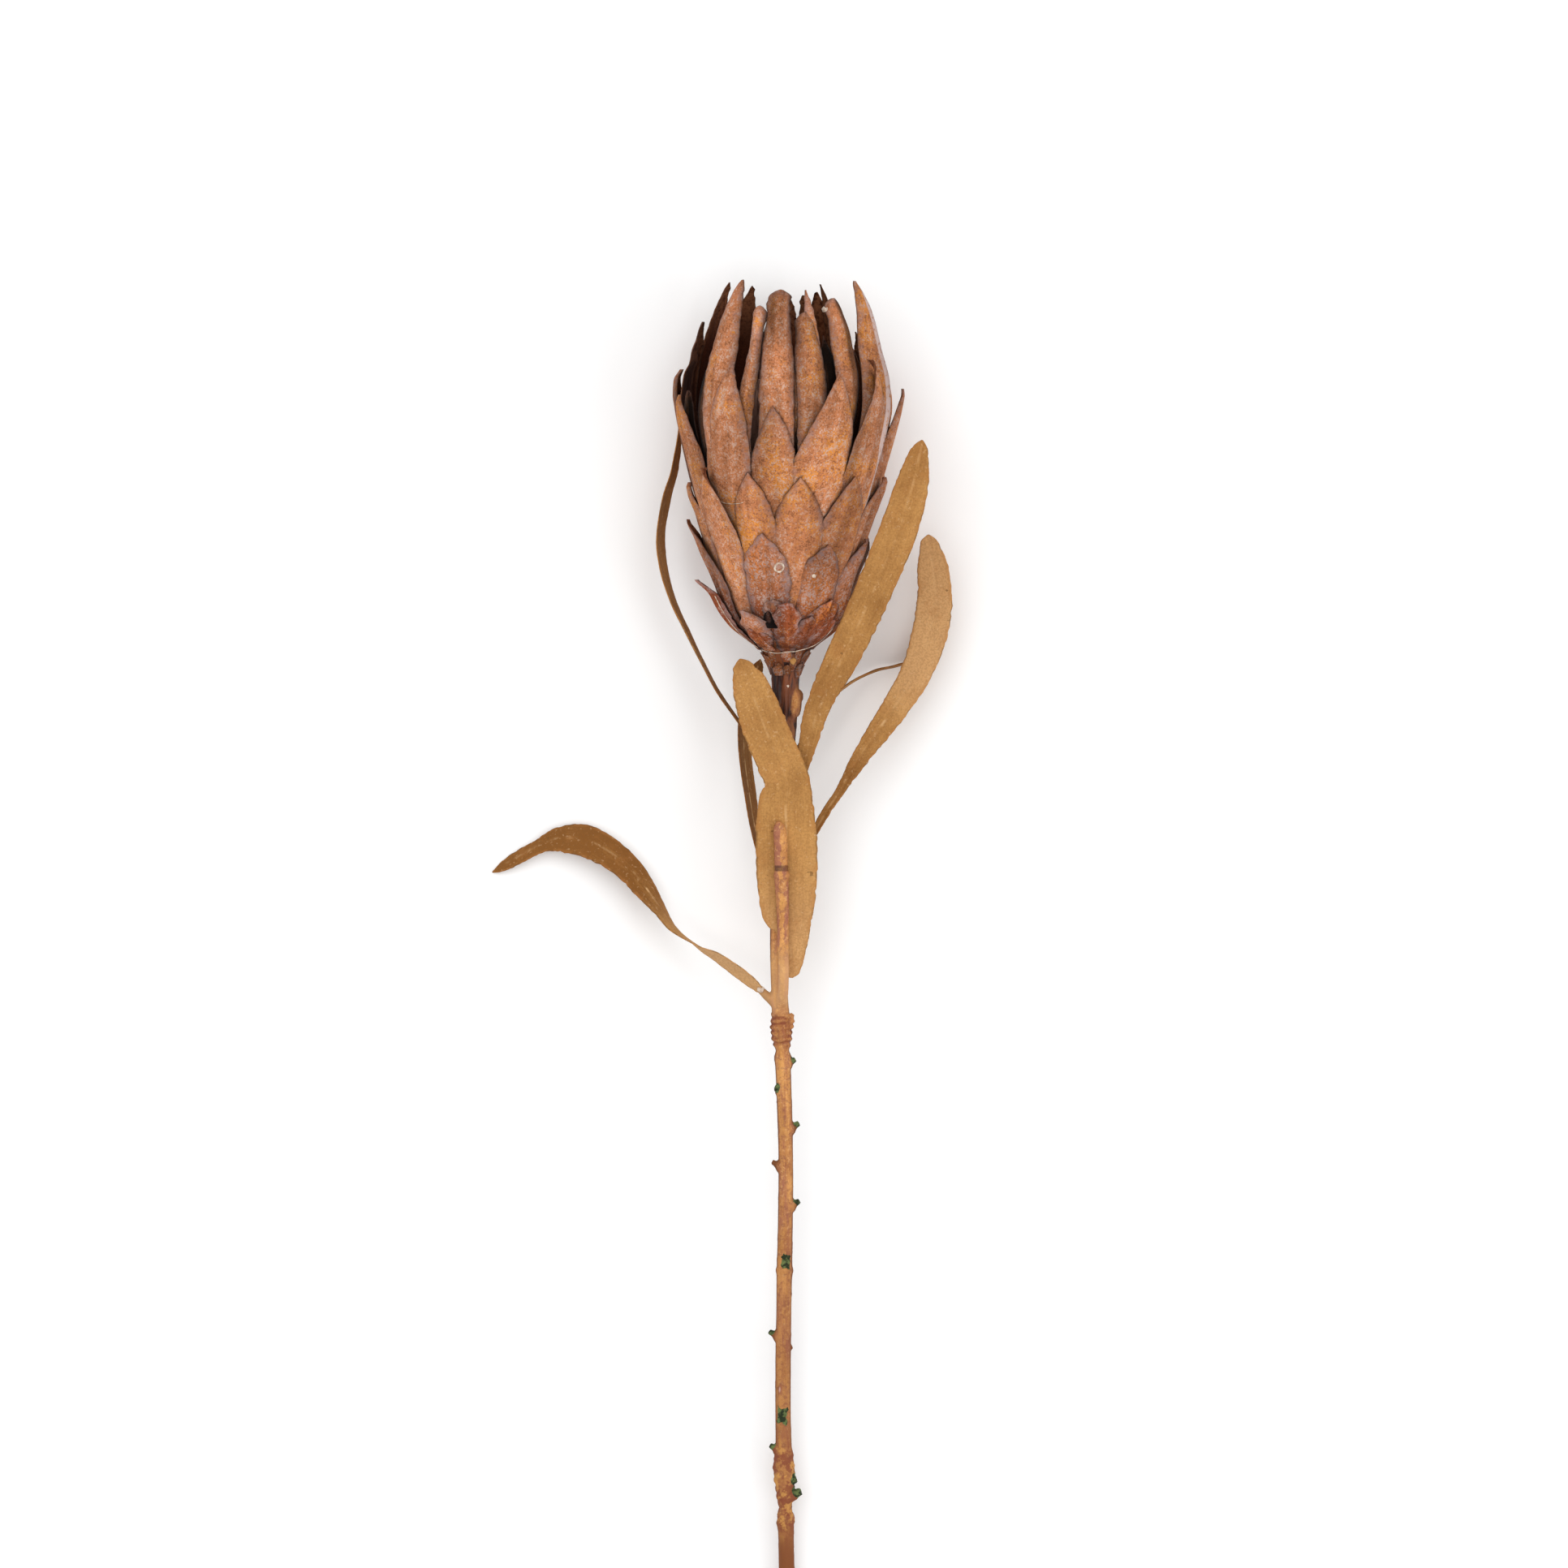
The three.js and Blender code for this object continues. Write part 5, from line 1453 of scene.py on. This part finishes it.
SETTINGS = {
    "protea_bracts": ProteaBractSettings,
    "protea_leaves": ProteaLeafSettings,
    "protea_stem": ProteaStemSettings,
    "protea_florets": ProteaFloretSettings,
    "protea_stage": ProteaStageSettings,
}


# ------------------------------------------------------------------ operators


class PROTEA_OT_finishes(bpy.types.Operator):
    """Make the effects and materials that the pieces share"""

    bl_idname = "protea.finishes"
    bl_label = "Finishes"

    def execute(self, context):
        velvet_group()
        fibre_group()
        bracts = context.scene.protea_bracts
        upper = (bracts.ground, bracts.warm, bracts.frost, bracts.border, bracts.inside)
        velvet_material("velvet", upper, 0.28, 0.33, 0.6)
        velvet_material("warm velvet", upper, 0.40, 0.24, 0.5)
        velvet_material("pale-edged velvet", upper, 0.36, 0.28, 0.5, strip=bracts.pale_border)
        border = darker(bracts.low_border, 0.75)
        low = (bracts.low_ground, bracts.low_warm, bracts.low_frost, border, bracts.inside)
        velvet_material("low velvet", low, 0.33, 0.42, 0.9, foot=bracts.rust_ground)
        rust = (bracts.rust_ground, bracts.low_warm, bracts.low_frost, bracts.low_border, bracts.inside)
        velvet_material("rust velvet", rust, 0.22, 0.2, 0.85)
        leaf_material(context.scene.protea_leaves)
        bark_material(context.scene.protea_stem)
        floret_material()
        glue_material()
        return {"FINISHED"}


class PROTEA_OT_bracts(bpy.types.Operator):
    """Make every bract that has a solid, from the lowest scales to the inner straps"""

    bl_idname = "protea.bracts"
    bl_label = "Bracts"

    def execute(self, context):
        sizes = context.scene.protea_bracts
        names = sorted(node for node in frame["nodes"] if "_bract_" in node)
        if not names:
            raise RuntimeError("the frame has no bracts")
        for seed, node in enumerate(names):
            row = node.rsplit("_", 1)[0]
            habit = Habit(**{**ROW_HABITS[row], **OWN_HABITS.get(node, {})})
            material = OWN_MATERIALS.get(node, ROW_MATERIALS.get(row, "velvet"))
            shell = bract_shell(bract_rings(node), habit, seed + 1, sizes)
            shell.piece("velvet_" + node, material, "low_bract" if row in ROW_MATERIALS else "bract", node)
        return {"FINISHED"}


class PROTEA_OT_innermost_bracts(bpy.types.Operator):
    """Make the innermost bracts, which stand between the inner straps and the florets"""

    bl_idname = "protea.innermost_bracts"
    bl_label = "Innermost Bracts"

    def execute(self, context):
        model = bract_rings("inner_bract_13")
        for seed, (name, (turn, tip, inside, half_width, fold)) in enumerate(INNERMOST_BRACTS.items()):
            table = inside_rings(turn, tip, inside, half_width, model)
            # Painted shade: the shared tone below 0 darkens the innermost bracts, deep in the head.
            shared = dict(fold=fold, droop=0.3, wave=0.5, crease=0.4, curl=-0.5, ragged=0.3, point=0.4,
                          tone=-0.1)
            habit = Habit(**{**shared, **INNERMOST_HABITS.get(name, {})})
            shell = bract_shell(table, habit, seed + INNERMOST_SEED, context.scene.protea_bracts)
            shell.piece(name, "velvet", "bract")
        return {"FINISHED"}


class PROTEA_OT_base_scales(bpy.types.Operator):
    """Make the small torn scales over the lowest bracts"""

    bl_idname = "protea.base_scales"
    bl_label = "Base Scales"

    def execute(self, context):
        model = bract_rings("base_bract_1")
        for seed, (name, (turn, tip, length, outside, half_width, tone)) in enumerate(BASE_SCALES.items()):
            table = scale_rings(turn, tip, length, outside, half_width, model)
            habit = Habit(fold=8, droop=0.6, wave=0.8, crease=0.8, curl=0.1, ragged=1.4, point=0.5, tone=tone,
                          left_lift=0.2, right_lift=0.2, uneven=0.4)
            shell = bract_shell(table, habit, seed + SCALE_SEED, context.scene.protea_bracts)
            shell.piece(name, OWN_MATERIALS.get(name, "rust velvet"), "low_bract")
        return {"FINISHED"}


class PROTEA_OT_crevices(bpy.types.Operator):
    """Paint shade into the velvet where other bracts stand close over it"""

    bl_idname = "protea.crevices"
    bl_label = "Crevices"

    def execute(self, context):
        pieces = [piece for piece in context.scene.objects if piece.name.startswith(FELTED)]
        if not pieces:
            raise RuntimeError("there are no bracts to darken")
        points, faces = [], []
        for piece in pieces:
            start = len(points)
            points.extend(vertex.co.copy() for vertex in piece.data.vertices)
            faces.extend([start + k for k in polygon.vertices] for polygon in piece.data.polygons)
        tree = BVHTree.FromPolygons(points, faces)
        for piece in pieces:
            paint_crevice_shade(piece.data, tree, OPEN_ROW_SHADE if piece.name.startswith(OPEN_ROWS) else CREVICE_SHADE)
        return {"FINISHED"}


class PROTEA_OT_leaves(bpy.types.Operator):
    """Make the seven leaves"""

    bl_idname = "protea.leaves"
    bl_label = "Leaves"

    def execute(self, context):
        for seed, (leaf, stations) in enumerate(LEAVES.items()):
            shell = leaf_shell(stations, LEAF_TONES[leaf], seed + 1, context.scene.protea_leaves)
            shell.piece("strap_" + leaf, "dry leaf", "leaf", leaf)
        return {"FINISHED"}


class PROTEA_OT_stem(bpy.types.Operator):
    """Make the stem with its collars, stubs, pegs and scales"""

    bl_idname = "protea.stem"
    bl_label = "Stem"

    def execute(self, context):
        mesh = remeshed(stem_shell(), context.scene.protea_stem.voxel, "bark_stem")
        if not mesh.vertices:
            raise RuntimeError("the stem's skin came out empty")
        normals = [vertex.normal.copy() for vertex in mesh.vertices]
        marks, lay = [], []
        for vertex, normal in zip(mesh.vertices, normals):
            local, y, turn, away = along_stem(vertex.co)
            vertex.co += normal * bark_rise(y, turn)
            marks.append(bark_marks(local, y, turn, away))
            lay.append((turn * STEM_RADIUS, local.y, 0.0))
        mesh.polygons.foreach_set("use_smooth", [True] * len(mesh.polygons))
        store(mesh, "marks", "FLOAT_COLOR", "color", marks)
        store(mesh, "lay", "FLOAT_VECTOR", "vector", lay)
        finished("bark_stem", mesh, "bark", "stem", "stem")
        scale_shell().piece("neck_scales", "low velvet", "low_bract")
        return {"FINISHED"}


class PROTEA_OT_florets(bpy.types.Operator):
    """Pack the florets in the middle of the head"""

    bl_idname = "protea.florets"
    bl_label = "Florets"

    def execute(self, context):
        shell = floret_shell(context.scene.protea_florets.count)
        shell.piece("packed_florets", "florets", "florets", "floret_mass")
        return {"FINISHED"}


class PROTEA_OT_scars(bpy.types.Operator):
    """Make the small scars, the dried glue and the pale thread under the lowest bracts"""

    bl_idname = "protea.scars"
    bl_label = "Scars"

    def execute(self, context):
        context.view_layer.update()
        names = (*FELTED, "strap_", "bark_stem")
        pieces = [piece for piece in context.scene.objects if piece.name.startswith(names)]
        for name, (radius, points) in THREADS.items():
            thread_shell(pieces, radius, points).piece(name, "glue", "low_bract")
        for seed, (name, (x, y, radius, height, ring, finish)) in enumerate(SCARS.items()):
            place, normal = top_surface(pieces, x, y)
            slot = "stem" if y < 0 else "bract"
            shell = scar_shell(place, normal, radius, height, ring, seed + 3.7)
            shell.piece(name, finish, slot)
        return {"FINISHED"}


class PROTEA_OT_stage(bpy.types.Operator):
    """Lay the pale floor, hang the soft lights and place the camera above the flower"""

    bl_idname = "protea.stage"
    bl_label = "Stage"

    def execute(self, context):
        stage = context.scene.protea_stage
        neck = placed(Vector())
        aim = Vector((neck.x - VIEW_LEFT, neck.y - VIEW_BELOW, neck.z))
        mesh = bpy.data.meshes.new("floor")
        reach = 6.0
        mesh.from_pydata([(-reach, -reach, 0), (reach, -reach, 0), (reach, reach, 0), (-reach, reach, 0)], [],
                         [(0, 1, 2, 3)])
        mesh.materials.append(floor_material(stage.floor))
        floor = bpy.data.objects.new("floor", mesh)
        context.scene.collection.objects.link(floor)
        lens = bpy.data.cameras.new("camera")
        lens.sensor_width = 36
        lens.lens = lens.sensor_width * stage.distance / stage.view_width
        lens.clip_start, lens.clip_end = 0.1, 50
        camera = bpy.data.objects.new("camera", lens)
        camera.location = aim + Vector((0, 0, stage.distance))
        context.scene.collection.objects.link(camera)
        context.scene.camera = camera
        soft_light("key", aim, Vector((-0.25, 0.35, 1.7)), 2.2, stage.key_power)
        soft_light("fill", aim, Vector((0.9, -0.3, 1.0)), 1.0, stage.fill_power)
        world = bpy.data.worlds.new("studio")
        world.use_nodes = True
        background = world.node_tree.nodes["Background"]
        background.inputs["Color"].default_value = (1.0, 1.0, 1.0, 1)
        background.inputs["Strength"].default_value = stage.sky
        context.scene.world = world
        context.scene.view_settings.view_transform = "Standard"
        return {"FINISHED"}


VIEW_LEFT, VIEW_BELOW = 0.5 * MM, 36.7 * MM   # how far the middle of the view lies from the neck


def soft_light(name, aim, offset, size, power):
    lamp = bpy.data.lights.new(name, "AREA")
    lamp.shape = "DISK"
    lamp.size = size
    lamp.energy = power
    light = bpy.data.objects.new(name, lamp)
    light.location = aim + offset
    light.rotation_euler = (-offset).to_track_quat("-Z", "Y").to_euler()
    bpy.context.scene.collection.objects.link(light)


class PROTEA_PT_panel(bpy.types.Panel):
    """The protea's pieces and their settings"""

    bl_label = "Protea"
    bl_idname = "PROTEA_PT_panel"
    bl_space_type = "VIEW_3D"
    bl_region_type = "UI"
    bl_category = "Protea"

    def draw(self, context):
        for operator in OPERATORS:
            self.layout.operator(operator.bl_idname)
        for name, settings in SETTINGS.items():
            box = self.layout.box()
            for setting in settings.__annotations__:
                box.prop(getattr(context.scene, name), setting)


OPERATORS = (
    PROTEA_OT_finishes,
    PROTEA_OT_bracts,
    PROTEA_OT_innermost_bracts,
    PROTEA_OT_base_scales,
    PROTEA_OT_leaves,
    PROTEA_OT_stem,
    PROTEA_OT_florets,
    PROTEA_OT_crevices,
    PROTEA_OT_scars,
    PROTEA_OT_stage,
)


def register():
    for cls in (*SETTINGS.values(), *OPERATORS, PROTEA_PT_panel):
        bpy.utils.register_class(cls)
    for name, settings in SETTINGS.items():
        setattr(bpy.types.Scene, name, PointerProperty(type=settings))


def unregister():
    for name in SETTINGS:
        delattr(bpy.types.Scene, name)
    for cls in reversed((*SETTINGS.values(), *OPERATORS, PROTEA_PT_panel)):
        bpy.utils.unregister_class(cls)


def main():
    register()
    bpy.ops.protea.finishes()
    bpy.ops.protea.bracts()
    bpy.ops.protea.innermost_bracts()
    bpy.ops.protea.base_scales()
    bpy.ops.protea.leaves()
    bpy.ops.protea.stem()
    bpy.ops.protea.florets()
    bpy.ops.protea.crevices()
    bpy.ops.protea.scars()
    bpy.ops.protea.stage()


if __name__ == "__main__":
    main()
